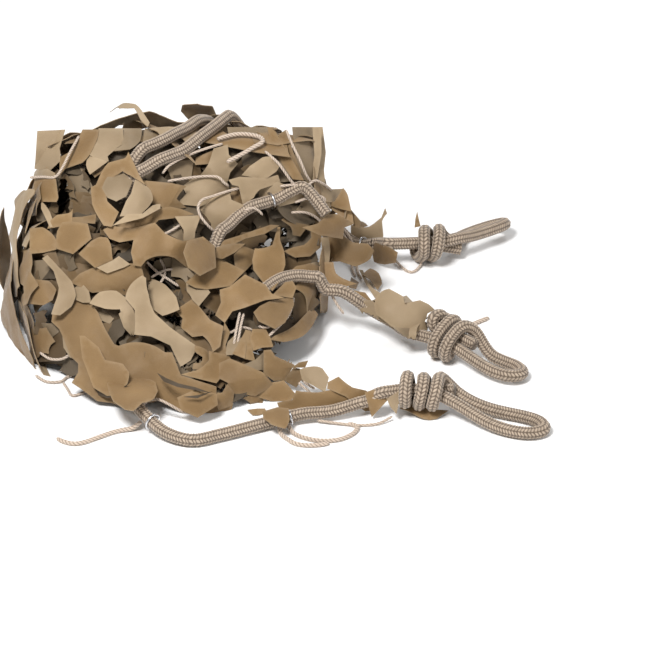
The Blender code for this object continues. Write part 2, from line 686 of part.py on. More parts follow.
def garnish_net(look):
    """The folded cloth, cut to its outline with its largest gaps, meshed flat and then folded."""
    border, gaps = outline(), gap_outlines()
    points, faces = [], []
    for ring in [border] + gaps:
        faces.append(list(range(len(points), len(points) + len(ring))))
        points += ring
    row = 0
    y = CLOTH_FACET / 2
    rim = list(points)
    while y < PATH_END * PATH_MM:
        x = SECTIONS[0][0] - CLOTH_FACET + (row % 2) * CLOTH_FACET / 2
        while x < SECTIONS[-1][0]:
            near = min((x - a) ** 2 + (y - b) ** 2 for a, b in rim)
            if near > (RIM_CLEAR * CLOTH_FACET) ** 2 and inside((x, y), border):
                if not any(inside((x, y), ring) for ring in gaps):
                    points.append((x, y))
            x += CLOTH_FACET
        y += CLOTH_FACET * math.sin(math.pi / 3)
        row += 1
    flat, _, triangles, _, _, owners = delaunay_2d_cdt([Vector(p) for p in points], [], faces, 1, 1e-6)
    mesh = bmesh.new()
    verts = [mesh.verts.new(Vector(cloth_point(p.x, p.y / PATH_MM)) * MM) for p in flat]
    for triangle, owner in zip(triangles, owners):
        if list(owner) == [0]:
            mesh.faces.new([verts[i] for i in triangle])
    loose = [v for v in mesh.verts if not v.link_faces]
    bmesh.ops.delete(mesh, geom=loose, context="VERTS")
    data = bpy.data.meshes.new("garnish_net")
    mesh.to_mesh(data)
    mesh.free()
    return thicken(show("garnish_net", data, look))


main()
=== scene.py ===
"""Camouflage netting: the looks of a heap of leaf-cut garnish on its net, with braided edge rope,
knotted end loops, twisted twine and hog rings.

The garnish is made as a maker cuts it: flat strips of cloth, tan on one side and khaki on the
other, with C-shaped cuts whose tongues lift and curl once the strip is gathered. Strips are laid
over the heap under single leaves, which are drawn on each of its sides. All of it is worked out in
millimetres and turned into metres as the meshes are made.
"""

import math
import random

import bpy
import numpy as np
from mathutils import Matrix, Vector
from mathutils.bvhtree import BVHTree
from mathutils.geometry import delaunay_2d_cdt
from mathutils.kdtree import KDTree


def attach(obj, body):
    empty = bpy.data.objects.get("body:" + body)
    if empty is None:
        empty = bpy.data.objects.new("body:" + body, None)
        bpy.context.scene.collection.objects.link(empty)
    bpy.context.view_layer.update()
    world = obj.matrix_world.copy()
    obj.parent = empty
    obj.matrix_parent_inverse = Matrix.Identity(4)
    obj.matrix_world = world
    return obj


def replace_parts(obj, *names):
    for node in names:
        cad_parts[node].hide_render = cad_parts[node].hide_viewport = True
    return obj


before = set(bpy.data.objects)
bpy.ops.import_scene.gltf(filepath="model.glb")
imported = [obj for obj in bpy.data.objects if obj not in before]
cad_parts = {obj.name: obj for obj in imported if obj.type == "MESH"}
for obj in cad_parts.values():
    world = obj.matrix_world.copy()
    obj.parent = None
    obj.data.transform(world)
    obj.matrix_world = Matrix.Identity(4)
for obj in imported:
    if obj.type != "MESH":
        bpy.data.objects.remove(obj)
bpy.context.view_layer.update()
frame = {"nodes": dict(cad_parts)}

MM = 0.001
ROPE, TWINE, CLIP_WIRE = 10.0, 3.4, 1.8     # as in the frame, mm
CLOTH = 0.55                                # thickness of the garnish, mm
GAP = 0.35                                  # between what lies on something and what it lies on, mm
CLOTH_LOWEST, CORD_LOWEST = 0.0002, 0.0001  # least height above the floor, metres
FOLD = 16                                   # a fold of the cloth sharper than this is an edge, degrees

# colours, linear
# the second colour of rope and twine is painted shade for the grooves between their yarns
ROPE_LIGHT, ROPE_GROOVE_SHADE = (0.43, 0.34, 0.255), (0.055, 0.034, 0.021)
TWINE_LIGHT, TWINE_GROOVE_SHADE = (0.56, 0.455, 0.365), (0.10, 0.062, 0.040)
TAN_DARK, TAN_LIGHT = (0.195, 0.115, 0.045), (0.252, 0.154, 0.064)
KHAKI_DARK, KHAKI_LIGHT = (0.268, 0.192, 0.111), (0.330, 0.243, 0.149)
THREAD, CUT_EDGE = (0.42, 0.31, 0.19), (0.48, 0.37, 0.24)
STEEL_DARK, STEEL_LIGHT = (0.50, 0.50, 0.52), (0.78, 0.78, 0.80)
THREADS = 1600.0                            # of the weave, to the metre


# ---- camera, light and floor -------------------------------------------------------------------
LENS, SENSOR = 240.0, 36.0
VIEW_WIDTH = 0.5168         # metres across the view at the aim point
VIEW_RISE = 30.0            # degrees above the horizon
AIM = Vector((0.1224, 0.0, 0.0))
AIM_UP = 0.01393            # the middle of the view is this far above the aim point, in the view
#  name, place, size in metres, watts
LIGHTS = (
    ("key", (-0.45, -1.0, 1.75), 0.6, 46),
    ("fill", (1.5, -1.0, 1.1), 1.2, 9),
    ("rim", (0.4, 1.6, 1.3), 1.0, 10),
)
WORLD_LIGHT = 0.30
FLOOR_SIZE, FLOOR_WHITE = 8, 0.96


def place_camera():
    data = bpy.data.cameras.new("camera")
    data.lens, data.sensor_width = LENS, SENSOR
    data.clip_start, data.clip_end = 0.1, 20
    camera = bpy.data.objects.new("camera", data)
    bpy.context.scene.collection.objects.link(camera)
    rise = math.radians(VIEW_RISE)
    back = Vector((0, -math.cos(rise), math.sin(rise)))
    up = Vector((0, math.sin(rise), math.cos(rise)))
    camera.location = AIM + up * AIM_UP + back * (LENS / SENSOR * VIEW_WIDTH)
    camera.rotation_euler = (math.radians(90) - rise, 0, 0)
    bpy.context.scene.camera = camera


def area_light(name, place, size, power):
    data = bpy.data.lights.new(name, "AREA")
    data.shape, data.size, data.energy = "DISK", size, power
    lamp = bpy.data.objects.new(name, data)
    lamp.location = place
    lamp.rotation_euler = (-Vector(place)).to_track_quat("-Z", "Y").to_euler()
    bpy.context.scene.collection.objects.link(lamp)


def light_the_studio():
    world = bpy.data.worlds.new("studio")
    world.use_nodes = True
    background = world.node_tree.nodes["Background"]
    background.inputs["Color"].default_value = (1, 1, 1, 1)
    background.inputs["Strength"].default_value = WORLD_LIGHT
    bpy.context.scene.world = world
    for lamp in LIGHTS:
        area_light(*lamp)
    bpy.context.scene.view_settings.view_transform = "Standard"
    bpy.context.scene.view_settings.look = "None"


def lay_floor():
    bpy.ops.mesh.primitive_plane_add(size=FLOOR_SIZE, location=(0, 0, 0))
    floor = bpy.context.object
    floor.name = "floor"
    look = bpy.data.materials.new("floor")
    look.use_nodes = True
    shader = look.node_tree.nodes["Principled BSDF"]
    shader.inputs["Base Color"].default_value = (FLOOR_WHITE, FLOOR_WHITE, FLOOR_WHITE, 1)
    shader.inputs["Roughness"].default_value = 0.9
    floor.data.materials.append(look)


# ---- materials ---------------------------------------------------------------------------------
class Nodes:
    """A short way to write a material's nodes."""

    def __init__(self, tree):
        self.tree = tree

    def add(self, kind, inputs=(), **settings):
        node = self.tree.nodes.new(kind)
        for key, value in settings.items():
            setattr(node, key, value)
        for key, value in dict(inputs).items():
            self.put(node.inputs[key], value)
        return node

    def put(self, socket, value):
        if isinstance(value, bpy.types.NodeSocket):
            self.tree.links.new(value, socket)
        elif isinstance(value, (tuple, list)) and socket.type == "RGBA":
            socket.default_value = (*value[:3], 1)
        else:
            socket.default_value = value

    def math(self, operation, a, b=0.0):
        return self.add("ShaderNodeMath", {0: a, 1: b}, operation=operation).outputs[0]

    def grey(self, value):
        return self.add("ShaderNodeCombineColor", {0: value, 1: value, 2: value}).outputs[0]

    def mix(self, share, a, b, blend="MIX"):
        node = self.add("ShaderNodeMix", data_type="RGBA", blend_type=blend)
        self.put(node.inputs[0], share)
        self.put(node.inputs[6], a)
        self.put(node.inputs[7], b)
        return node.outputs[2]

    def remap(self, value, low, high, new_low=0.0, new_high=1.0):
        inputs = {"Value": value, "From Min": low, "From Max": high, "To Min": new_low, "To Max": new_high}
        return self.add("ShaderNodeMapRange", inputs, clamp=True).outputs[0]

    def noise(self, vector, scale, detail=3.0, rough=0.5):
        inputs = {"Vector": vector, "Scale": scale, "Detail": detail, "Roughness": rough}
        return self.add("ShaderNodeTexNoise", inputs).outputs[0]

    def attribute(self, name):
        return self.add("ShaderNodeAttribute", attribute_name=name).outputs["Fac"]


def new_material(name):
    look = bpy.data.materials.new(name)
    look.use_nodes = True
    nodes = Nodes(look.node_tree)
    return look, nodes, look.node_tree.nodes["Principled BSDF"]


def weave_group():
    """The height of a plain weave over cloth coordinates in metres."""
    tree = bpy.data.node_groups.new("plain_weave", "ShaderNodeTree")
    tree.interface.new_socket("Cloth", in_out="INPUT", socket_type="NodeSocketVector")
    tree.interface.new_socket("Threads", in_out="INPUT", socket_type="NodeSocketFloat")
    tree.interface.new_socket("Height", in_out="OUTPUT", socket_type="NodeSocketFloat")
    nodes = Nodes(tree)
    entry, leave = nodes.add("NodeGroupInput"), nodes.add("NodeGroupOutput")
    split = nodes.add("ShaderNodeSeparateXYZ", {0: entry.outputs["Cloth"]})
    waves = []
    for axis in (0, 1):
        thread = nodes.math("MULTIPLY", split.outputs[axis], entry.outputs["Threads"])
        waves.append(nodes.math("SINE", nodes.math("MULTIPLY", thread, math.tau)))
    nodes.put(leave.inputs["Height"], nodes.math("MULTIPLY", waves[0], waves[1]))
    return tree


def garnish_look(weave):
    """Coated cloth: tan on its face and khaki on its back, with pale cut edges and soft dents, darkened by
    the tone attribute, which is mostly painted shade.
    """
    look, nodes, shader = new_material("garnish_cloth")
    place = nodes.add("ShaderNodeTexCoord").outputs["Object"]
    cloth = nodes.add("ShaderNodeUVMap", uv_map="cloth").outputs[0]
    back = nodes.attribute("back")
    tone = nodes.attribute("tone")
    edge = nodes.attribute("edge")
    patches = nodes.noise(place, 34, 2)
    tan = nodes.mix(nodes.remap(patches, 0.35, 0.7), TAN_DARK, TAN_LIGHT)
    khaki = nodes.mix(nodes.remap(patches, 0.35, 0.7), KHAKI_DARK, KHAKI_LIGHT)
    colour = nodes.mix(back, tan, khaki)
    fine = nodes.noise(cloth, 900, 2, 0.7)
    colour = nodes.mix(nodes.remap(fine, 0.3, 0.8, 0.0, 0.10), colour, THREAD)
    colour = nodes.mix(nodes.math("MULTIPLY", edge, 0.16), colour, CUT_EDGE)
    # the tone multiplies the colour: mostly painted shade where the cloth lies in shadow or deep in the
    # heap
    nodes.put(shader.inputs["Base Color"], nodes.mix(1.0, colour, nodes.grey(tone), "MULTIPLY"))
    nodes.put(shader.inputs["Roughness"], nodes.remap(nodes.noise(place, 120), 0.3, 0.7, 0.52, 0.68))
    shader.inputs["Sheen Weight"].default_value = 0.12
    shader.inputs["Sheen Roughness"].default_value = 0.5
    shader.inputs["Specular IOR Level"].default_value = 0.32
    group = nodes.add("ShaderNodeGroup", node_tree=weave)
    nodes.put(group.inputs["Cloth"], cloth)
    nodes.put(group.inputs["Threads"], THREADS)
    dents = nodes.math("MULTIPLY", nodes.noise(place, 95, 3, 0.45), 1.6)
    height = nodes.math("ADD", nodes.math("MULTIPLY", group.outputs["Height"], 0.05), dents)
    bump = nodes.add("ShaderNodeBump", {"Strength": 0.45, "Distance": 0.0012, "Height": height})
    nodes.put(shader.inputs["Normal"], bump.outputs[0])
    return look


def cord_look(name, light, dark, fibres, roughness):
    """Yarn whose crowns are light and whose grooves are painted dark as shade, with fine fibres along it.
    """
    look, nodes, shader = new_material(name)
    cloth = nodes.add("ShaderNodeUVMap", uv_map="cloth").outputs[0]
    place = nodes.add("ShaderNodeTexCoord").outputs["Object"]
    crown = nodes.attribute("crown")
    tone = nodes.attribute("tone")
    # painted shade in the grooves, the yarn's own colour on its crowns
    colour = nodes.mix(nodes.remap(crown, 0.22, 0.78), dark, light)
    colour = nodes.mix(1.0, colour, nodes.grey(tone), "MULTIPLY")
    fine = nodes.noise(cloth, fibres, 3, 0.75)
    fibre = tuple(min(1.0, 1.35 * c) for c in light)
    colour = nodes.mix(nodes.remap(fine, 0.35, 0.75, 0.0, 0.3), colour, fibre)
    nodes.put(shader.inputs["Base Color"], colour)
    shader.inputs["Roughness"].default_value = roughness
    shader.inputs["Sheen Weight"].default_value = 0.25
    shader.inputs["Specular IOR Level"].default_value = 0.3
    height = nodes.math("ADD", nodes.math("MULTIPLY", fine, 0.6), nodes.noise(place, 700, 2))
    bump = nodes.add("ShaderNodeBump", {"Strength": 0.4, "Distance": 0.0005, "Height": height})
    nodes.put(shader.inputs["Normal"], bump.outputs[0])
    return look


def steel_look():
    look, nodes, shader = new_material("clip_steel")
    place = nodes.add("ShaderNodeTexCoord").outputs["Object"]
    scratch = nodes.noise(place, 900, 3, 0.7)
    nodes.put(shader.inputs["Base Color"], nodes.mix(scratch, STEEL_DARK, STEEL_LIGHT))
    nodes.put(shader.inputs["Roughness"], nodes.remap(scratch, 0.3, 0.7, 0.18, 0.36))
    shader.inputs["Metallic"].default_value = 1.0
    return look


# ---- curves ------------------------------------------------------------------------------------
def spline(rows, at):
    """The smooth curve through rows of numbers, read at a place between 0 and 1."""
    rows = np.asarray(rows, float)
    last = len(rows) - 1
    place = min(max(at, 0.0), 1.0) * last
    i = min(int(place), last - 1)
    f = place - i
    before, after = rows[max(i - 1, 0)], rows[min(i + 2, last)]
    a, b = rows[i], rows[i + 1]
    bend = 2 * before - 5 * a + 4 * b - after
    twist = 3 * (a - b) + after - before
    return a + 0.5 * f * (b - before + f * (bend + f * twist))


def smooth(rows, step=22.0):
    """Points about one step apart on the smooth curve through a route, all in mm."""
    fine = np.array([spline(rows, k / 400) for k in range(401)])
    run = np.concatenate([[0], np.cumsum(np.linalg.norm(np.diff(fine, axis=0), axis=1))])
    places = np.linspace(0, run[-1], max(int(run[-1] / step) + 1, 4))
    return np.stack([np.interp(places, run, fine[:, k]) for k in range(fine.shape[1])], axis=1)


def length_of(points):
    return float(np.linalg.norm(np.diff(points, axis=0), axis=1).sum())


# ---- the skin of the heap ----------------------------------------------------------------------
class Skin:
    """The smooth outside of the heap, read from the frame's net outwards from one middle point."""

    MIDDLE = np.array([6.0, 28.0, 34.0])
    FAR = 600.0
    POLAR = np.radians(np.linspace(0, 114, 39))
    AROUND = np.radians(np.arange(0, 360, 4.0))

    def __init__(self, node):
        mesh = node.data
        tree = BVHTree.FromPolygons([v.co / MM for v in mesh.vertices], [p.vertices for p in mesh.polygons])
        ways = self.ways(self.POLAR[:, None], self.AROUND[None, :])
        reach = np.zeros(ways.shape[:2])
        for i in range(ways.shape[0]):
            for j in range(ways.shape[1]):
                way = Vector(ways[i, j])
                hit = tree.ray_cast(Vector(self.MIDDLE) + way * self.FAR, -way)[0]
                reach[i, j] = (hit - Vector(self.MIDDLE)).length if hit else 0
        for pick in (np.maximum, np.minimum):       # which closes its gaps
            for _ in range(3):
                reach = pick.reduce(self.around(reach))
        for _ in range(2):
            reach = np.mean(self.around(reach), axis=0)
        reach[0] = reach[0].mean()
        self.reach = reach
        points = self.MIDDLE + ways * reach[..., None]
        down = np.gradient(points, axis=0)
        wrapped = np.concatenate([points[:, -1:], points, points[:, :1]], axis=1)
        across = (wrapped[:, 2:] - wrapped[:, :-2]) / 2
        normals = np.cross(down, across)
        normals[0] = (0, 0, 1)
        normals /= np.linalg.norm(normals, axis=2)[..., None] + 1e-9
        cross = ((0, 0), (1, 0), (-1, 0), (0, 1), (0, -1))
        for _ in range(2):
            normals = np.mean([self.shift(normals, *way) for way in cross], axis=0)
        self.normals = normals

    @staticmethod
    def ways(polar, around):
        flat = np.sin(polar)
        return np.stack([flat * np.cos(around), flat * np.sin(around), np.cos(polar) + 0 * around], axis=-1)

    @staticmethod
    def shift(values, rows, columns):
        index = np.clip(np.arange(len(values)) + rows, 0, len(values) - 1)
        return np.roll(values[index], columns, axis=1)

    def around(self, values):
        return [self.shift(values, i, j) for i in (-1, 0, 1) for j in (-1, 0, 1)]

    def read(self, points):
        """The skin's points and normals beyond the given points, seen from the middle."""
        away = np.atleast_2d(points) - self.MIDDLE
        length = np.linalg.norm(away, axis=1) + 1e-9
        polar = np.arccos(np.clip(away[:, 2] / length, -1, 1))
        around = np.mod(np.arctan2(away[:, 1], away[:, 0]), math.tau)
        row = np.clip(polar / (self.POLAR[1] - self.POLAR[0]), 0, len(self.POLAR) - 1.001)
        column = around / (self.AROUND[1] - self.AROUND[0])
        i, j = row.astype(int), column.astype(int) % len(self.AROUND)
        f, g = (row - i)[:, None], (column - np.floor(column))[:, None]
        k = (j + 1) % len(self.AROUND)
        out = []
        for grid in (self.reach[..., None], self.normals):
            out.append((1 - f) * ((1 - g) * grid[i, j] + g * grid[i, k])
                       + f * ((1 - g) * grid[i + 1, j] + g * grid[i + 1, k]))
        foot = self.MIDDLE + away / length[:, None] * out[0]
        normal = out[1] / (np.linalg.norm(out[1], axis=1)[:, None] + 1e-9)
        return foot, normal


# ---- cloth cut flat ----------------------------------------------------------------------------
def arcs(corners, step=3.0):
    """An outline from its corners x, y, bulge: each side is an arc that stands out by bulge times
    half its length, or is hollow where bulge is negative. Corners run counter-clockwise."""
    points = []
    for (ax, ay, bulge), (bx, by, _) in zip(corners, corners[1:] + corners[:1]):
        span = math.hypot(bx - ax, by - ay)
        count = max(2, int(span * (1 + abs(bulge)) / step))
        out_x, out_y = (by - ay) / span, (ax - bx) / span
        for k in range(count):
            t = k / count
            sag = bulge * span / 2 * 4 * t * (1 - t)
            points.append((ax + (bx - ax) * t + out_x * sag, ay + (by - ay) * t + out_y * sag))
    return points


def within(points, ring):
    """Which of many points lie inside a ring."""
    x, y = points[:, 0], points[:, 1]
    hit = np.zeros(len(points), bool)
    for (ax, ay), (bx, by) in zip(ring, ring[1:] + ring[:1]):
        if ay == by:
            continue
        crosses = ((ay > y) != (by > y)) & (x < (bx - ax) * (y - ay) / (by - ay) + ax)
        hit ^= crosses
    return hit


def nearest_rim(points, rings):
    """Each point's distance from the cut edges."""
    tree = KDTree(sum(len(ring) for ring in rings))
    index = 0
    for ring in rings:
        for x, y in ring:
            tree.insert((x, y, 0), index)
            index += 1
    tree.balance()
    return np.array([tree.find((x, y, 0))[2] for x, y in points])


def tongue_edge(kind, half, length, steps=15):
    """A tongue's edge from one end of its hinge to the other, along the hinge and out of it."""
    edge = []
    for k in range(steps + 1):
        q = k / steps
        if kind == "round":
            turn = math.pi * (1 - q)
            edge.append((half * math.cos(turn) * (1 + 0.38 * math.sin(turn)), length * math.sin(turn)))
        elif kind == "point":
            out = 1 - abs(2 * q - 1)
            wide = half * (1 + 0.55 * math.sin(math.pi * out)) * (1 - out) ** 0.75
            edge.append((math.copysign(wide, q - 0.5), length * out))
        else:
            out = min(1, 3 * min(q, 1 - q))
            along = min(max((q - 1 / 3) * 3, 0), 1)
            wide = half * (1 + 0.15 * out)
            edge.append((-wide + 2 * wide * along, length * out))
    return edge


class Cut:
    """A C-shaped cut and the tongue that it frees: its hinge, its size, and how it lifts and curls."""

    def __init__(self, x, y, turn, half, length, kind, lift, curl, cup=0.0):
        self.x, self.y, self.turn = x, y, math.radians(turn)
        self.half, self.length, self.kind = half, length, kind
        self.lift, self.curl, self.cup = math.radians(lift), math.radians(curl), cup

    def to_sheet(self, along, out):
        """A place along the hinge and out of it, on the sheet."""
        c, s = math.cos(self.turn), math.sin(self.turn)
        return self.x + along * -s + out * c, self.y + along * c + out * s

    def to_hinge(self, points):
        c, s = math.cos(self.turn), math.sin(self.turn)
        dx, dy = points[:, 0] - self.x, points[:, 1] - self.y
        return -s * dx + c * dy, c * dx + s * dy

    def tongue(self):
        return [self.to_sheet(*p) for p in tongue_edge(self.kind, self.half, self.length)]

    def slit(self):
        """The gap round the tongue, about a millimetre wide."""
        inner = tongue_edge(self.kind, self.half, self.length)
        outer = [(a * 1.16, 0.4 + d * 1.07 + 1.0 * min(1, d / 4)) for a, d in inner]
        ring = [self.to_sheet(*p) for p in outer] + [self.to_sheet(*p) for p in reversed(inner)]
        return counter_clockwise(ring)

    def bend(self, flat, solid):
        """Lifts the tongue's points about its hinge; solid holds x, y, z."""
        inside = within(flat, self.tongue())
        along, out = self.to_hinge(flat[inside])
        keep = out > 0
        index = np.flatnonzero(inside)[keep]
        along, out = along[keep], out[keep]
        steps = np.linspace(0, 1, 33)
        ease = np.clip(steps / 0.4, 0, 1)
        angle = self.lift * ease * ease * (3 - 2 * ease) + self.curl * steps ** 1.4
        run = np.concatenate([[0], np.cumsum(np.cos(angle[:-1]))]) / 32 * self.length
        rise = np.concatenate([[0], np.cumsum(np.sin(angle[:-1]))]) / 32 * self.length
        at = np.clip(out / self.length, 0, 1)
        new_out = np.interp(at, steps, run)
        up = np.interp(at, steps, rise) + self.cup * at * (along / self.half) ** 2
        x, y = self.to_sheet(along, new_out)
        solid[index, 0], solid[index, 1] = x, y
        solid[index, 2] += up


def counter_clockwise(ring):
    turn = sum(a[0] * b[1] - b[0] * a[1] for a, b in zip(ring, ring[1:] + ring[:1]))
    return ring if turn > 0 else ring[::-1]


def cut_flat(border, cuts=(), facet=5.0):
    """A flat sheet with its border and slits: points, triangles and each point's distance from a
    cut edge."""
    rings = [counter_clockwise(border)] + [cut.slit() for cut in cuts]
    low, high = np.min(rings[0], axis=0), np.max(rings[0], axis=0)
    seeds = []
    row, y = 0, low[1] + facet / 2
    while y < high[1]:
        x = low[0] + (row % 2) * facet / 2
        while x < high[0]:
            seeds.append((x, y))
            x += facet
        y += facet * math.sin(math.pi / 3)
        row += 1
    seeds = np.array(seeds)
    good = within(seeds, rings[0])
    for ring in rings[1:]:
        good &= ~within(seeds, ring)
    seeds = seeds[good]
    seeds = seeds[nearest_rim(seeds, rings) > 0.5 * facet]
    points, faces = [], []
    for ring in rings:
        faces.append(list(range(len(points), len(points) + len(ring))))
        points += ring
    points += [tuple(p) for p in seeds]
    flat, _, triangles, _, _, owners = delaunay_2d_cdt([Vector(p) for p in points], [], faces, 1, 1e-5)
    keep = [t for t, owner in zip(triangles, owners) if list(owner) == [0]]
    used = sorted({i for t in keep for i in t})
    new = {old: i for i, old in enumerate(used)}
    flat = np.array([(flat[i].x, flat[i].y) for i in used])
    return flat, np.array([[new[i] for i in t] for t in keep]), nearest_rim(flat, rings)


# ---- sheets that are gathered into one piece ----------------------------------------------------
class Bundle:
    """Many cut sheets that are laid as one piece."""

    def __init__(self, name):
        self.name = name
        self.points, self.faces, self.uv, self.back, self.tone, self.edge = [], [], [], [], [], []
        self.count, self.area = 0, 0.0

    def add(self, flat, triangles, rim, solid, tone, turned=False, drawn=False, gaps=None):
        """A sheet with both its sides and its cut edge, from its mid-surface in mm. A drawn sheet has
        the area of its surface and any other that of its flat cut; gaps says where cloth is left out."""
        if gaps is not None:
            triangles = triangles[~gaps(solid[triangles].mean(axis=1))]
            if not len(triangles):
                return
            used, triangles = np.unique(triangles, return_inverse=True)
            triangles = triangles.reshape(-1, 3)
            flat, rim, solid = flat[used], rim[used], solid[used]
        a, b, c = (solid[triangles[:, k]] for k in range(3))
        face = np.cross(b - a, c - a)
        normal = np.zeros_like(solid)
        for k in range(3):
            np.add.at(normal, triangles[:, k], face)
        normal /= np.linalg.norm(normal, axis=1)[:, None] + 1e-9
        top, under = solid + normal * CLOTH / 2, solid - normal * CLOTH / 2
        edges = np.concatenate([triangles[:, [0, 1]], triangles[:, [1, 2]], triangles[:, [2, 0]]])
        n = len(solid)
        codes = edges[:, 0] * n + edges[:, 1]
        alone = ~np.isin(codes, edges[:, 1] * n + edges[:, 0])
        rim_edges = edges[alone]
        sides = np.concatenate([
            np.stack([rim_edges[:, 1], rim_edges[:, 0], rim_edges[:, 0] + n], axis=1),
            np.stack([rim_edges[:, 1], rim_edges[:, 0] + n, rim_edges[:, 1] + n], axis=1),
        ])
        self.points.append(np.concatenate([top, under]))
        self.faces.append(np.concatenate([triangles, triangles[:, ::-1] + n, sides]) + self.count)
        first, second = (1.0, 0.0) if turned else (0.0, 1.0)
        self.back.append(np.concatenate([np.full(n, first), np.full(n, second)]))
        self.tone.append(np.full(2 * n, tone))
        near = np.clip(1 - rim / 0.8, 0, 1)
        self.edge.append(np.concatenate([near, near]))
        self.uv.append(np.concatenate([flat, flat]) * MM)
        self.count += 2 * n
        if not drawn:
            a, b, c = (flat[triangles[:, k]] for k in range(3))
            face = (b - a)[:, 0] * (c - a)[:, 1] - (b - a)[:, 1] * (c - a)[:, 0]
            face = face[:, None]
        self.area += float(np.linalg.norm(face, axis=1).sum() / 2) * MM * MM

    def finish(self, look):
        points = np.concatenate(self.points) * MM
        points[:, 2] = np.maximum(points[:, 2], CLOTH_LOWEST)
        values = {"back": self.back, "tone": self.tone, "edge": self.edge}
        values = {key: np.concatenate(parts) for key, parts in values.items()}
        thing = mesh_object(self.name, points, np.concatenate(self.faces), look, np.concatenate(self.uv),
                            values, crisp=FOLD)
        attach(thing, "root")
        return thing


def mesh_object(name, points, faces, look, uv, values, crisp=0):
    """A smooth mesh object from arrays, in metres."""
    data = bpy.data.meshes.new(name)
    data.vertices.add(len(points))
    data.vertices.foreach_set("co", np.asarray(points, np.float32).ravel())
    sides = faces.shape[1]
    data.loops.add(faces.size)
    data.loops.foreach_set("vertex_index", faces.astype(np.int32).ravel())
    data.polygons.add(len(faces))
    data.polygons.foreach_set("loop_start", np.arange(0, faces.size, sides, dtype=np.int32))
    data.update(calc_edges=True)
    data.validate()
    layer = data.uv_layers.new(name="cloth")
    layer.data.foreach_set("uv", uv[faces.ravel()].astype(np.float32).ravel())
    for key, value in values.items():
        data.attributes.new(key, "FLOAT", "POINT").data.foreach_set("value", value.astype(np.float32))
    data.polygons.foreach_set("use_smooth", np.ones(len(faces), bool))
    if crisp:
        data.set_sharp_from_angle(angle=math.radians(crisp))
    data.materials.append(look)
    thing = bpy.data.objects.new(name, data)
    bpy.context.scene.collection.objects.link(thing)
    return thing


def waves(points, height, length, chance):
    """A soft uneven swell over a flat sheet, in mm."""
    total = np.zeros(len(points))
    for k in range(4):
        turn = chance.uniform(0, math.pi)
        reach = length * chance.uniform(0.7, 1.5)
        start = chance.uniform(0, math.tau)
        run = points[:, 0] * math.cos(turn) + points[:, 1] * math.sin(turn)
        total += np.sin(run / reach * math.tau + start)
    return height * total / 2


class Lane:
    """A line over the skin along which a strip is laid, with its frames every few millimetres."""

    STEP = 5.0

    def __init__(self, skin, start, heading, length, turn=0.0):
        foot, normal = skin.read(np.array(start, float))
        foot, normal = foot[0], normal[0]
        ahead = np.array([math.cos(math.radians(heading)), math.sin(math.radians(heading)), 0.0])
        self.places, self.aheads = [], []
        count = int(length / self.STEP) + 3
        for _ in range(count):
            ahead -= normal * (ahead @ normal)
            ahead /= np.linalg.norm(ahead)
            side = np.cross(normal, ahead)
            self.places.append(foot)
            self.aheads.append(ahead)
            swing = math.radians(turn) * self.STEP / 100
            ahead = ahead * math.cos(swing) + side * math.sin(swing)
            foot, normal = (r[0] for r in skin.read(foot + ahead * self.STEP))
        self.places, self.aheads = np.array(self.places), np.array(self.aheads)
        self.skin, self.length = skin, length

    def lay(self, solid, level):
        """Strip points (run, across, height) in mm to their place over the skin."""
        run = np.clip(solid[:, 0], 0, self.length) / self.STEP
        beyond = solid[:, 0] - run * self.STEP
        knots = np.arange(len(self.places))
        middle = np.stack([np.interp(run, knots, self.places[:, k]) for k in range(3)], axis=1)
        ahead = np.stack([np.interp(run, knots, self.aheads[:, k]) for k in range(3)], axis=1)
        _, normal = self.skin.read(middle)
        side = np.cross(normal, ahead)
        spot = middle + ahead * beyond[:, None] + side * solid[:, 1:2]
        foot, normal = self.skin.read(spot)
        return foot + normal * (level + solid[:, 2:3])


def random_cuts(length, width, chance, bold=1.0):
    """Cuts in two rows along a strip, whose tongues open in turn to either side."""
    cuts = []
    run, row = chance.uniform(14, 26), chance.choice((-1, 1))
    while run < length - 20:
        half = chance.uniform(8.5, 13)
        reach = min(chance.uniform(20, 34), width * 0.62)
        way = 90 * row + chance.uniform(-38, 38)
        lift = chance.choice((1, 1, 1, -1)) * chance.uniform(15, 85) * bold
        cuts.append(Cut(run, -row * width * chance.uniform(0.20, 0.30), way, half, reach,
                        chance.choice(("round", "round", "point", "round", "square")),
                        lift, chance.uniform(-35, 70), chance.uniform(-3, 3)))
        run += 2 * half * 1.2 + chance.uniform(5, 13)
        row = -row
    return cuts


def strip_border(length, width, chance):
    """A strip's outline: hollow arcs and round lobes between cusps along both of its sides."""
    corners = []
    for side in (-1, 1):
        places = [0.0]
        while places[-1] < length - 28:
            places.append(places[-1] + chance.uniform(22, 46))
        places[-1] = length
        for k, place in enumerate(places):
            bulge = chance.choice((-0.34, -0.26, 0.22, -0.40, 0.30))
            corners.append((side, place, side * width / 2 * chance.uniform(0.72, 1.05), bulge))
    right = [(x, y, b) for side, x, y, b in corners if side < 0]
    left = [(x, y, b) for side, x, y, b in corners if side > 0][::-1]
    return arcs(right + left)


# ---- leaves: single cut pieces ------------------------------------------------------------------
def random_leaf(chance, x, v, size):
    """A leaf's corners about a middle: five to eight cusps joined by hollow and round arcs."""
    count = chance.choice((5, 6, 6, 7, 8))
    squash = chance.uniform(0.55, 0.95)
    turn = chance.uniform(0, math.tau)
    corners = []
    for k in range(count):
        angle = math.tau * (k + chance.uniform(-0.3, 0.3)) / count
        reach = size / 2 * chance.uniform(0.72, 1.15)
        along, across = reach * math.cos(angle), squash * reach * math.sin(angle)
        corners.append((x + along * math.cos(turn) - across * math.sin(turn),
                        v + along * math.sin(turn) + across * math.cos(turn),
                        chance.choice((-0.30, -0.22, 0.26, 0.18, 0.0))))
    return tuple(corners)


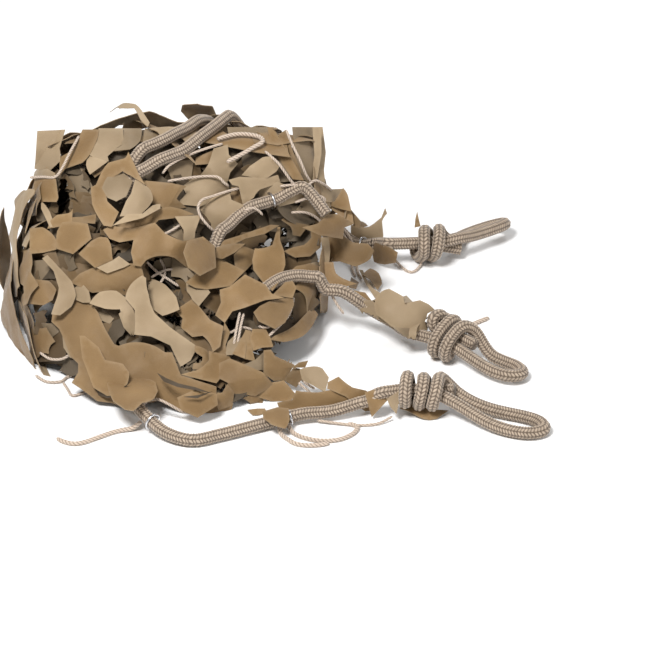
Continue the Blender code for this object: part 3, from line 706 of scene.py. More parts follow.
# ---- ropes -------------------------------------------------------------------------------------
def frames_along(points):
    """Unit vectors along a line, and two across it that turn as little as they can."""
    ahead = np.gradient(points, axis=0)
    ahead /= np.linalg.norm(ahead, axis=1)[:, None]
    side = np.zeros_like(points)
    start = np.cross(ahead[0], (0, 0, 1.0))
    side[0] = start / np.linalg.norm(start)
    for k in range(1, len(points)):
        across = side[k - 1] - ahead[k] * (side[k - 1] @ ahead[k])
        side[k] = across / np.linalg.norm(across)
    return ahead, side, np.cross(ahead, side)


def even(points, step):
    """Points a step apart along a smoothed line."""
    fine = np.array([spline(points, k / (4 * len(points))) for k in range(4 * len(points) + 1)])
    run = np.concatenate([[0], np.cumsum(np.linalg.norm(np.diff(fine, axis=0), axis=1))])
    places = np.linspace(0, run[-1], max(int(run[-1] / step), 8) + 1)
    return np.stack([np.interp(places, run, fine[:, k]) for k in range(3)], axis=1)


def braid_relief(run, turn, columns=8, pitch=2.3):
    """The crowns of a plaited cover: columns of slanting stitches that lean in turn to either side."""
    place = turn / math.tau * columns
    column = np.floor(place)
    across = place - column
    lean = np.where(column % 2 == 0, 1.0, -1.0)
    stitch = run / pitch + lean * (across - 0.5) * 0.85
    crown = np.abs(np.sin(math.pi * stitch)) ** 0.9
    crown *= np.sin(math.pi * np.clip(across, 0.02, 0.98)) ** 0.5
    shade = np.sin(np.floor(stitch) * 12.9898 + column * 78.233) * 43758.5453     # its own to a stitch
    return crown, shade - np.floor(shade)


def twist_relief(run, turn, plies=3, lay=9.0):
    """The crowns of twisted yarn."""
    wound = plies * (turn - math.tau * run / lay)
    crown = np.abs(np.cos(wound / 2)) ** 0.7
    return crown, np.full_like(crown, 0.5)


#  relief and its depth, points around, step along in mm, and how far the ends grow thin
BRAID = (braid_relief, 0.15, 32, 0.5)
TWIST = (twist_relief, 0.32, 16, 0.8, 0.4)
STRING_TWIST = (twist_relief, 0.32, 12, 0.9, 0.5)


def cord_mesh(name, line, width, look, relief, depth, around, step, taper=0.0):
    """A closed tube whose surface carries the relief of its yarns, from its line in mm."""
    line = even(line, step)
    ahead, side, up = frames_along(line)
    run = np.concatenate([[0], np.cumsum(np.linalg.norm(np.diff(line, axis=0), axis=1))])
    turn = np.arange(around) / around * math.tau
    crown, shade = relief(run[:, None] + 0 * turn, turn[None, :] + 0 * run[:, None])
    radius = width / 2 * (1 + depth * (crown - 0.75))
    ends = np.minimum(run, run[-1] - run)
    radius *= (1 - taper + taper * np.clip(ends / width, 0, 1) ** 0.5)[:, None]
    ring = np.cos(turn)[None, :, None] * side[:, None] + np.sin(turn)[None, :, None] * up[:, None]
    points = (line[:, None] + ring * radius[..., None]).reshape(-1, 3)
    rows, base = len(line), np.arange(around)
    after = (base + 1) % around
    quads = []
    for k in range(rows - 1):
        near, far = k * around, (k + 1) * around
        quads.append(np.stack([near + base, near + after, far + after, far + base], axis=1))
    quads = np.concatenate(quads)
    faces = np.concatenate([quads[:, [0, 1, 2]], quads[:, [0, 2, 3]]])
    caps = []
    for row, middle, flip in ((0, len(points), True), (rows - 1, len(points) + 1, False)):
        fan = np.stack([np.full(around, middle), row * around + base, row * around + after], axis=1)
        caps.append(fan[:, ::-1] if flip else fan)
    points = np.concatenate([points, line[:1], line[-1:]]) * MM
    points[:, 2] = np.maximum(points[:, 2], CORD_LOWEST)
    faces = np.concatenate([faces] + caps)
    uv = np.stack([np.repeat(run, around), np.tile(turn * width / 2, rows)], axis=1)
    uv = np.concatenate([uv, [(0, 0), (run[-1], 0)]]) * MM
    crown = np.concatenate([crown.ravel(), [0.3, 0.3]])
    tone = np.concatenate([0.86 + 0.28 * shade.ravel(), [0.8, 0.8]])
    thing = mesh_object(name, points, faces, look, uv, {"crown": crown, "tone": tone})
    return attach(thing, "root"), line


def knot_line(wraps):
    """The rope's line in a loose noose, in rope widths: +X towards the eye."""
    going = [(x, -0.5, 0) for x in (-4.2, -3, -2, -1, 0, 1)] + [(2, -0.55, 0), (2.8, -0.7, -0.1)]
    back = [(2.7, 1.05, 0.1)]
    first = 0.5 * wraps + 0.45
    steps = int(wraps * 12)
    for k in range(steps + 1):
        turn = math.radians(20) + math.tau * wraps * k / steps
        flat = math.cos(turn)
        wide = 1.06 * flat + math.copysign(0.5 * min(1, abs(flat) * 1.6), flat)
        back.append((first - 1.02 * wraps * k / steps, wide, 1.06 * math.sin(turn)))
    x, y, z = back[-1]
    back += [(x - 0.75, 0.62 * y + 0.2, 0.5 * z), (x - 0.85, 0.5, 0), (x - 0.1, 0.5, 0), (x + 0.8, 0.5, 0),
             (0.6, 0.5, 0), (first, 0.5, 0), (first + 0.35, 0.5, 0)]
    return np.array(going, float), np.array(back, float)


#  in rope widths: the knot's middle over the floor, the step along, and room between two passes
KNOT_HIGH, KNOT_STEP, KNOT_ROOM = 1.55, 0.72, 1.035
KNOT_SEAT = 2.6                         # what is added to the knot's height, mm
KNOT_PASSES = 260
NEIGHBOURS = 1.75                       # points that are nearer along the rope aren't held apart
LINK_PULL, BEND_EASE, PUSH_APART = 0.25, 0.1, 1.1
HELD = 4                                # the first points stay where the lead ends
#  the eye's line: along it, and out to either side
EYE = ((0.45, -0.55), (0.62, -0.82), (0.80, -1), (0.93, -0.82), (1, -0.35),
       (1, 0.35), (0.93, 0.82), (0.80, 1), (0.62, 0.85), (0.45, 0.62))
JOIN_STEPS = (0.6, 4, 8)
ABOVE_FLOOR = 0.2


def end_loop_route(lead, knot_x, knot_y, heading, roll, wraps, eye_turn, length, across, tilt):
    """One rope: in from the lead, through the knot, round the eye, back in wraps, and a cut tail."""
    rolled = np.array(Matrix.Rotation(math.radians(roll), 3, "X"))
    going, coming = (part @ rolled.T for part in knot_line(wraps))
    lift = KNOT_HIGH + KNOT_SEAT / ROPE
    side = math.copysign(1, coming[0][1] - going[-1][1])
    turn = np.array(Matrix.Rotation(math.radians(eye_turn), 3, "Z"))
    reach, half = length / ROPE, across / ROPE / 2
    eye = []
    for far, out in EYE:
        place = turn @ np.array([reach * far, side * half * out, 0])
        near = 0.5 - 0.5 * side * out
        place[2] = 0.52 - lift + tilt / ROPE * near
        eye.append(place)
    turned = np.array(Matrix.Rotation(math.radians(heading), 3, "Z"))
    middle = np.array([knot_x, knot_y, lift * ROPE])
    body = np.concatenate([going, eye, coming]) @ turned.T * ROPE + middle
    ahead = (lead[-1] - lead[-2]) / np.linalg.norm(lead[-1] - lead[-2])
    join = [lead[-1] + ahead * step for step in JOIN_STEPS]
    keep = (body[:4] - join[-1]) @ ahead > 2
    body = np.concatenate([body[:4][keep], body[4:]])
    return draw_together(smooth(np.concatenate([join, body]), KNOT_STEP * ROPE), ROPE * KNOT_ROOM)


def draw_together(p, apart):
    """Relaxes a rope's line: it keeps its length, bends gently and never comes within its own width."""
    link = np.linalg.norm(np.diff(p, axis=0), axis=1).mean()
    i, j = np.triu_indices(len(p), 1)
    distant = (j - i) * link > NEIGHBOURS * apart
    i, j = i[distant], j[distant]
    held = p[:HELD].copy()
    for _ in range(KNOT_PASSES):
        for odd in (0, 1):
            k = np.arange(odd, len(p) - 1, 2)
            step = p[k + 1] - p[k]
            length = np.linalg.norm(step, axis=1)[:, None]
            move = LINK_PULL * (length - link) / length * step
            p[k] += move
            p[k + 1] -= move
        p[1:-1] += BEND_EASE * (0.5 * (p[:-2] + p[2:]) - p[1:-1])
        between = p[j] - p[i]
        distance = np.linalg.norm(between, axis=1)
        close = distance < apart
        a, b, distance = i[close], j[close], distance[close]
        move = (0.5 * (apart - distance) / distance)[:, None] * between[close]
        shares = np.maximum(np.bincount(np.concatenate([a, b]), minlength=len(p)), 1)[:, None]
        total = np.zeros_like(p)
        np.add.at(total, a, -move)
        np.add.at(total, b, move)
        p += PUSH_APART * total / shares
        p[:, 2] = np.maximum(p[:, 2], ROPE / 2 + ABOVE_FLOOR)
        p[:HELD] = held
    return p


# ---- the routes of ropes and twines, in mm -------------------------------------------------------
ROPE_FRONT = (
    (-36, -97, 16.4), (-30, -112, 17.4), (-17, -132, 13), (-5.6, -147, 8.8), (8, -157, 6.4),
    (24, -161, 5.4), (48, -151, 5.4), (80, -136, 6), (104, -128, 8.4), (122, -124, 8.2),
    (138, -120, 8), (150, -117, 12),
)
ROPE_BACK = ((131.5, 155, 22), (142, 149, 12), (154, 141, 8.6), (164, 136, 13))
ROPE_MIDDLE = (
    (69, -26, 0), (78, -10, 0), (91, 4, 0), (104, 10, 0), (116, 11, 0), (128, 9, 40), (139, 7, 34),
    (150, 6, 25), (160, 6, 19), (174, 1, 17),
)
ROPE_TOP_NEAR = (
    (-47, 24, 0), (-38, 34, 0), (-24, 48, 0), (-4, 66, 0), (16, 98, 0), (28, 124, 0), (36, 146, 0),
)
ROPE_TOP_FAR = (
    (-36, 22, 0), (-22, 35, 0), (-6, 46, 0), (12, 62, 0), (32, 92, 0), (46, 118, 0), (58, 140, 0),
)
ROPE_ARCH = ((34, 6, 0), (44, 22, 0), (60, 40, 0), (84, 55, 0), (102, 62, 0), (115, 62, 0), (125, 52, 0))
TWINE_TOP = ((38, 78, 0), (52, 86, 0), (68, 86, 0), (75, 78, 0), (58, 66, 0), (46, 58, 0))
TWINE_FRONT = (
    (-82, -153, 2), (-74, -159, 2), (-64, -160, 2), (-47, -149, 2), (-36, -142, 2), (-25, -140, 3.2),
    (-17.8, -137.5, 7.6),
)
TWINE_CURL = (
    (88.1, -138.4, 4.3), (90, -146, 2), (97, -156, 2), (104, -162, 2), (116, -163, 2), (127, -160, 2),
)
TWINE_FRAYED = (
    (95, -136.4, 5.2), (99, -144, 2.2), (108, -152, 2), (122, -156.5, 2), (136, -154, 2),
    (146, -145, 2), (149, -136, 2), (142, -131, 2),
)
TWINE_KNOT = (
    (206.7, -3.9, 20), (213, 2, 22.5), (221, 9, 19), (231, 15, 9), (240, 20.5, 3), (248, 27, 2),
    (256, 33, 2),
)
#  name  knot x  knot y  heading  roll  wraps  eye turn  length  width  tilt
END_LOOPS = (
    ("front", 195, -109, 6, -32, 2.6, -26, 109, 29, 0),
    ("middle", 216, -22, -28, 20, 2.2, -8, 79, 29, 4),
    ("back", 206, 127, 4, -40, 2.0, 31, 85, 26, 13),
)
CLIPS = (
    ("clip_front_left", "rope_front", 0.235),
    ("clip_front_right", "rope_front", 0.755),
    ("clip_back", "rope_back", 0.78),
    ("clip_arch", "rope_arch", 0.62),
)
CLIP_ROOM = 0.7                 # what a ring's wire takes under a rope that lies on it, mm
LIFT, LIFT_PASSES = 0.3, 50     # a rope that is too near is raised by this much at a time, mm
BETWEEN = (0, 0.25, 0.5, 0.75, 1)


def lie_on(bed, route, thickness, under=0.0):
    """The route of a rope that lies on the cloth, or on a clip there; its own z is its least."""
    fine = smooth(route, 3)
    clear = thickness / 2 + GAP + under
    heights = []
    for x, y, least in fine:
        hit = bed.ray_cast(Vector((x, y, 1000)), Vector((0, 0, -1)))[0]
        place = Vector((x, y, max(least, hit.z + clear) if hit else least))
        while bed.find_nearest(place)[3] < clear:
            place.z += LIFT
        heights.append(place.z)
    span = 4 if thickness == ROPE else 3
    bridged = [max(heights[max(i - span, 0):i + span + 1]) for i in range(len(heights))]
    eased = [float(np.mean(bridged[max(i - 2, 0):i + 3])) for i in range(len(bridged))]
    points = [(x, y, max(z, h)) for (x, y, _), z, h in zip(fine, eased, heights)]
    route = np.array([points[i] for i in range(0, len(points) - span, span)] + points[-1:])
    for _ in range(LIFT_PASSES):
        for a, b in zip(route, route[1:]):
            if min(bed.find_nearest(Vector(a + (b - a) * f))[3] for f in BETWEEN) < clear:
                a[2] += LIFT
                b[2] += LIFT
    closest = min(bed.find_nearest(Vector(a + (b - a) * f))[3]
                  for a, b in zip(route, route[1:]) for f in BETWEEN)
    route[:, 2] -= max(closest - clear, 0)
    return route


def all_routes(bed):
    routes = {
        "rope_front": smooth(ROPE_FRONT),
        "rope_middle": lie_on(bed, ROPE_MIDDLE, ROPE),
        "rope_back": smooth(ROPE_BACK),
        "rope_top_near": lie_on(bed, ROPE_TOP_NEAR, ROPE),
        "rope_top_far": lie_on(bed, ROPE_TOP_FAR, ROPE),
        "rope_arch": lie_on(bed, ROPE_ARCH, ROPE, CLIP_ROOM),
    }
    for end, *shape in END_LOOPS:
        routes["end_loop_" + end] = end_loop_route(routes["rope_" + end], *shape)
    routes["twine_top"] = lie_on(bed, TWINE_TOP, TWINE)
    for name, route in (("twine_front", TWINE_FRONT), ("twine_curl", TWINE_CURL),
                        ("twine_frayed", TWINE_FRAYED), ("twine_knot", TWINE_KNOT)):
        routes[name] = smooth(route, 8)
    return routes


def make_cords(routes, rope_look, twine_look):
    """Every rope with its end loop in one length, and the loose twines; the cords come first."""
    for end in ("front", "middle", "back"):
        line = np.concatenate([routes["rope_" + end], routes["end_loop_" + end]])
        thing, line = cord_mesh("edge_rope_" + end, line, ROPE, rope_look, *BRAID)
        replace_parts(thing, "rope_" + end, "end_loop_" + end)
    for name in ("rope_top_near", "rope_top_far", "rope_arch"):
        thing, line = cord_mesh("braided_" + name, routes[name], ROPE, rope_look, *BRAID)
        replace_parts(thing, name)
    for name in ("twine_top", "twine_front", "twine_curl", "twine_frayed", "twine_knot"):
        thing, line = cord_mesh("twisted_" + name, routes[name], TWINE, twine_look, *TWIST)
        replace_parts(thing, name)


# ---- hog rings -----------------------------------------------------------------------------------
WIRE_SIDES, RING_STEPS, RING_TURN = 14, 44, 350


def hog_ring(name, route, place, look):
    """A ring of wire closed round a rope, its two ends side by side."""
    at = place * (len(route) - 1)
    i = int(at)
    middle = Vector(route[i] + (route[i + 1] - route[i]) * (at - i))
    along = Vector(route[i + 1] - route[i])
    radius = ROPE / 2 + GAP + CLIP_WIRE / 2
    bpy.ops.mesh.primitive_circle_add(vertices=WIRE_SIDES, radius=CLIP_WIRE / 2 * MM, fill_type="NGON",
                                      location=(radius * MM, 0, 0), rotation=(math.pi / 2, 0, 0))
    ring = bpy.context.object
    ring.name = name
    bpy.ops.object.transform_apply(location=True, rotation=True, scale=True)
    bpy.ops.object.mode_set(mode="EDIT")
    bpy.ops.mesh.select_all(action="SELECT")
    bpy.ops.mesh.spin(steps=RING_STEPS, angle=math.radians(RING_TURN), center=(0, 0, 0), axis=(0, 0, 1))
    bpy.ops.mesh.select_all(action="SELECT")
    bpy.ops.mesh.normals_make_consistent(inside=False)
    bpy.ops.object.mode_set(mode="OBJECT")
    stand = along.to_track_quat("Z", "Y").to_matrix().to_4x4()
    ring.data.transform(Matrix.Translation(middle * MM) @ stand)
    bpy.ops.object.shade_smooth_by_angle(angle=math.radians(50))
    ring.data.materials.append(look)
    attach(ring, "root")
    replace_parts(ring, name)


# ---- a side of the heap as it is looked at ------------------------------------------------------
def tree_of(things):
    """One tree of all the faces of some of the frame's nodes, in mm."""
    points, faces = [], []
    for thing in things:
        start = len(points)
        points += [v.co / MM for v in thing.data.vertices]
        faces += [[start + i for i in p.vertices] for p in thing.data.polygons]
    return BVHTree.FromPolygons(points, faces)


def tree_of_skin(skin):
    rows, columns = skin.reach.shape
    points = skin.MIDDLE + skin.ways(skin.POLAR[:, None], skin.AROUND[None, :]) * skin.reach[..., None]
    faces = []
    for upper in range(0, (rows - 1) * columns, columns):
        lower = upper + columns
        for j in range(columns):
            k = (j + 1) % columns
            faces.append((upper + j, upper + k, lower + k, lower + j))
    return BVHTree.FromPolygons([Vector(p) for p in points.reshape(-1, 3)], faces)


class Side:
    """One side of the heap drawn on a plane square to the view: x across and v up it, in mm."""

    GROUND = 1.0                        # where a leaf lies that has no cloth under it
    CENTRE = np.array([0, 20.0, 0])     # the other sides are turned about this point
    MIDDLE_V = 89.6                     # the middle of the view on the drawing

    def __init__(self, tree, turn=0.0):
        rise = math.radians(VIEW_RISE)
        spin = np.array(Matrix.Rotation(math.radians(turn), 3, "Z"))
        self.back = spin @ (0, -math.cos(rise), math.sin(rise))
        self.up = spin @ (0, math.sin(rise), math.cos(rise))
        self.across = spin @ (1, 0, 0)
        aim = self.CENTRE + spin @ (np.array(AIM) / MM - self.CENTRE)
        self.eye = aim + self.up * AIM_UP / MM + self.back * LENS / SENSOR * VIEW_WIDTH / MM
        self.zero = aim + self.up * (AIM_UP / MM - self.MIDDLE_V) - self.across * AIM.x / MM
        self.tree = tree

    def rays(self, flat):
        spot = self.zero + np.outer(flat[:, 0], self.across) + np.outer(flat[:, 1], self.up)
        ray = spot - self.eye
        return ray / np.linalg.norm(ray, axis=1)[:, None]

    def drawn(self, points):
        """Where points in space are seen on the drawing."""
        away = points - self.eye
        far = (self.zero - self.eye) @ self.back / (away @ self.back)
        spot = self.eye + away * far[:, None] - self.zero
        return np.stack([spot @ self.across, spot @ self.up], axis=1)

    def depths(self, flat):
        """How far the cloth is from the eye along each ray, or the ground where there is none."""
        out, on_cloth = [], []
        for ray in self.rays(flat):
            hit = self.tree.ray_cast(Vector(self.eye), Vector(ray))[3]
            ground = (self.GROUND - self.eye[2]) / ray[2]
            out.append(min(hit, ground) if hit else ground)
            on_cloth.append(bool(hit) and hit <= ground + 1)
        return np.array(out), np.array(on_cloth)

    def place(self, solid, fit):
        """Points x, v and height above the fitted surface, in space."""
        rays = self.rays(solid[:, :2])
        return self.eye + rays * (fit(solid[:, :2]) - solid[:, 2])[:, None]


ASIDE = (4, 3)              # the steps towards the cloth from a leaf that is seen past its edge, mm
BEYOND = 6.0                # a leaf's fitted surface keeps this near to the cloth's own depths, mm
FIT_GRID, FIT_ENOUGH = 9, 8
FIT_HOLD = (0, 0.05, 0.05, 0.5, 0.5, 0.5)


def fitted(side, ring):
    """A smooth depth over an outline: the quadratic nearest to the cloth there."""
    low, high = np.min(ring, axis=0), np.max(ring, axis=0)
    xs, vs = np.meshgrid(*(np.linspace(low[k], high[k], FIT_GRID) for k in (0, 1)))
    spots = np.stack([xs.ravel(), vs.ravel()], axis=1)
    spots = np.concatenate([spots[within(spots, ring)], np.array(ring)[::3]])
    depth, on_cloth = side.depths(spots)
    aside, beside, found = spots, depth, on_cloth
    while not found.any() and aside[:, 1].max() > 0:
        aside = aside - ASIDE
        beside, found = side.depths(aside)
    if found.any():
        depth, on_cloth = beside, found
    if on_cloth.sum() > FIT_ENOUGH:
        spots, depth = spots[on_cloth], depth[on_cloth]
    elif on_cloth.any():
        depth[:] = depth[on_cloth].mean()
    middle, size = (low + high) / 2, max(high - low) / 2

    def terms(flat):
        x, v = (flat - middle).T / size
        return np.stack([1 + 0 * x, x, v, x * x, x * v, v * v], axis=1)

    basis = terms(spots)
    weights = np.diag(FIT_HOLD) * len(spots) * 0.2
    factors = np.linalg.solve(basis.T @ basis + weights, basis.T @ depth)
    nearest, farthest = depth.min() - BEYOND, depth.max() + BEYOND
    return lambda flat: np.clip(terms(flat) @ factors, nearest, farthest)


# ---- the leaves of the front, in mm --------------------------------------------------------------
# back (1 shows the khaki side), lift, lean to the right and lean upwards in degrees, crown, tone, which is
# mostly painted shade on leaves that lie in shadow, then the corners x, v and bulge, which is left out
# where it is 0, counter-clockwise
CROWN_LEAVES = (
    (1, 8, 0, 12, 2, 1.0, ((-108, 213), (-96, 211.5), (-88, 219, 0.1), (-88.5, 229), (-84, 244),
     (-106, 243))),
    (0, 8, -12, 6, 2, 1.0, ((-110, 187), (-91, 186.5, 0.1), (-89.5, 190), (-91.5, 205), (-108, 207))),
    (1, 6, 8, 0, 1, 1.02, ((-106, 205), (-92, 206), (-92, 209.5), (-98, 213), (-106, 211))),
    (0, 5, 14, -8, 3, 0.97, ((-88, 208), (-84, 213), (-70, 218, 0.12), (-60.5, 232, 0.12), (-57, 244),
     (-70, 244), (-77, 228), (-88, 222))),
    (1, 7, -14, 14, 2, 1.04, ((-66, 225), (-57, 220), (-49, 219), (-50, 223), (-42, 230), (-37, 233),
     (-38, 245), (-57, 245), (-60, 233))),
    (1, 9, 12, -14, 1, 1.05, ((-64, 208.5), (-50, 218.5), (-66, 224), (-67, 216, 0.1))),
    (0, 4, 0, 0, 1, 0.85, ((-60, 206), (-50, 213), (-54, 217), (-63, 210))),
    (1, -8, 16, 0, 4, 0.60, ((-80, 195), (-62, 191), (-62, 199), (-68, 210, 0.12), (-73, 215),
     (-81, 206, 0.12))),
    (1, 3, 0, -10, 2, 0.88, ((-46, 227), (-32, 228.5, 0.1), (-24, 235, 0.12), (-23, 245), (-39, 245),
     (-38, 232))),
    (0, -3, 10, 0, 2, 0.75, ((-30, 214), (-24, 216), (-19, 223, 0.18), (-22, 229, 0.12), (-28, 228))),
    (1, -2, 0, 12, 2, 0.80, ((-22, 231), (-6, 235), (4, 245), (-20, 245))),
    # the ring round the opening and what lies in it
    (0, 21, 14, 10, 2, 1.0, ((-46.5, 167), (-41, 178.5), (-50, 187, 0.08), (-53.5, 198, 0.12),
     (-48, 205, 0.06), (-38, 211, 0.1), (-32, 207.5), (-20, 200), (-25, 208), (-29, 217),
     (-33.5, 226, -0.15), (-36, 221), (-49, 217.5, 0.1), (-56, 207), (-59, 200), (-63, 198),
     (-62, 185, 0.05), (-58, 176), (-53, 168))),
    (1, 23, 12, 0, 3, 0.84, ((-43, 187), (-35, 191), (-30, 203), (-38, 210, 0.1), (-50, 206, 0.12),
     (-54, 197), (-50, 190))),
    (1, 24, -12, 10, 3, 1.03, ((-40, 175), (-24, 176), (-20, 180, 0.1), (-14, 188, 0.18),
     (-17, 197, 0.1), (-28, 204), (-31, 193), (-35, 187))),
    (1, 25, -6, -22, 0, 1.08, ((-46, 167.5), (-22, 173.5), (-8, 181), (-8, 184.5, 0.1), (-14, 183.5),
     (-22, 177), (-34, 176.5))),
    (0, 4, 0, 14, 2, 1.0, ((-16, 186), (-8, 184), (-5, 180), (13, 182), (5, 189, -0.1), (13, 199),
     (0, 201.5), (-22, 203.5), (-17, 197, -0.1))),
    (0, -5, 0, 4, 2, 0.58, ((-80, 175), (-59, 176), (-60, 193), (-77, 195), (-80, 186))),
    (0, 4, 0, -16, 1, 0.85, ((-80, 170.5), (-60, 169), (-59, 176.5), (-70, 174.5), (-80, 174))),
    (0, 6, 8, 0, 2, 0.98, ((-98, 165), (-87, 167), (-78.5, 169.5), (-78, 180.5, -0.3), (-82, 177),
     (-90, 176), (-95, 172))),
    (1, 7, -20, 0, 1, 1.05, ((-96, 166), (-92, 167), (-96, 178, 0.1), (-103, 187), (-103, 181))),
    (0, 9, 6, -8, 2, 1.0, ((-48, 166.5), (-30, 160), (-13, 168), (-9, 172), (4, 173.5), (19, 176.5),
     (9, 180.5), (0, 182.5), (-9, 181), (-26, 174))),
)
SHOULDER_LEAVES = (
    (1, 4, -8, 10, 3, 0.97, ((21, 205), (46, 203), (48, 210), (54, 217), (47, 224), (46, 232),
     (35, 229), (31, 217, -0.1))),
    (1, 3, 10, 6, 3, 0.92, ((4, 185), (24, 183), (40, 189), (48, 193), (46, 201), (42, 206.5),
     (20, 206), (10, 199), (13, 193, -0.1))),
    (1, 6, 22, 0, 5, 1.02, ((34, 164.5), (45, 165.5, 0.12), (56, 174, 0.2), (58.5, 184),
     (49, 188, -0.1), (48, 196), (36, 192.5), (25, 187), (23.5, 180, 0.12), (27, 171, 0.12))),
    (0, 1, 0, 0, 1, 0.85, ((48, 186), (59, 184), (57, 199), (49, 198))),
    (1, 7, -12, 8, 2, 1.0, ((58.5, 184), (67, 190, -0.15), (72, 196.5), (88, 202), (86, 208),
     (76, 205.5), (56, 206.5), (47, 204), (50, 200), (55, 199))),
    (1, 9, 0, 14, 2, 1.04, ((57.5, 208), (70, 205.5), (78, 206), (85, 211), (88, 216), (81, 222.5, 0.1),
     (74, 222), (64, 215))),
    (1, 5, 4, 8, 3, 1.02, ((69, 181), (84, 182), (100, 186), (112, 187.5), (109, 194, 0.1), (96, 198.5),
     (86, 202.5), (72, 197), (71, 190, -0.1))),
    (1, 2, 0, 4, 2, 0.9, ((101, 180), (122, 172), (128, 178), (128, 190), (113, 197), (108, 190))),
    (1, 3, 14, 0, 1, 0.86, ((108, 196), (121, 192), (126, 196), (120, 205), (109, 203), (96, 201))),
    # the folds that hang at the right end of the ridge
    (0, 5, 30, 0, 1, 0.95, ((98, 205), (107, 204), (97, 222), (88, 236), (83, 246), (78, 246),
     (82, 230), (90, 217))),
    (1, 1, -24, 0, 1, 0.74, ((103, 206), (113, 202), (115, 220), (114, 246), (98, 246), (100, 226))),
    (1, 5, 26, 0, 1, 0.97, ((113, 203), (118, 206), (121, 225), (121, 246), (114, 246), (115.5, 224))),
    (1, 2, -20, 0, 1, 1.0, ((118, 205), (124, 202), (123, 212), (124.5, 226), (122, 246), (119, 246),
     (120, 222))),
    (1, -1, 14, 0, 1, 0.66, ((83, 220), (92, 209), (98, 206), (91, 225), (82, 238))),
    (1, -2, 0, 14, 2, 0.68, ((58, 234), (72, 227), (81, 230), (80, 246), (46, 246), (48, 236))),
    (0, 3, 20, 6, 1, 0.88, ((92, 219), (100, 206), (105, 210), (98, 228), (93, 244), (87, 240))),
    (0, 2, 0, 10, 1, 0.92, ((20, 216), (33, 217), (36, 222), (35, 228), (21, 222))),
    (1, -2, 10, 0, 1, 0.68, ((2, 203), (17, 207), (19, 220), (8, 219), (-2, 213))),
)
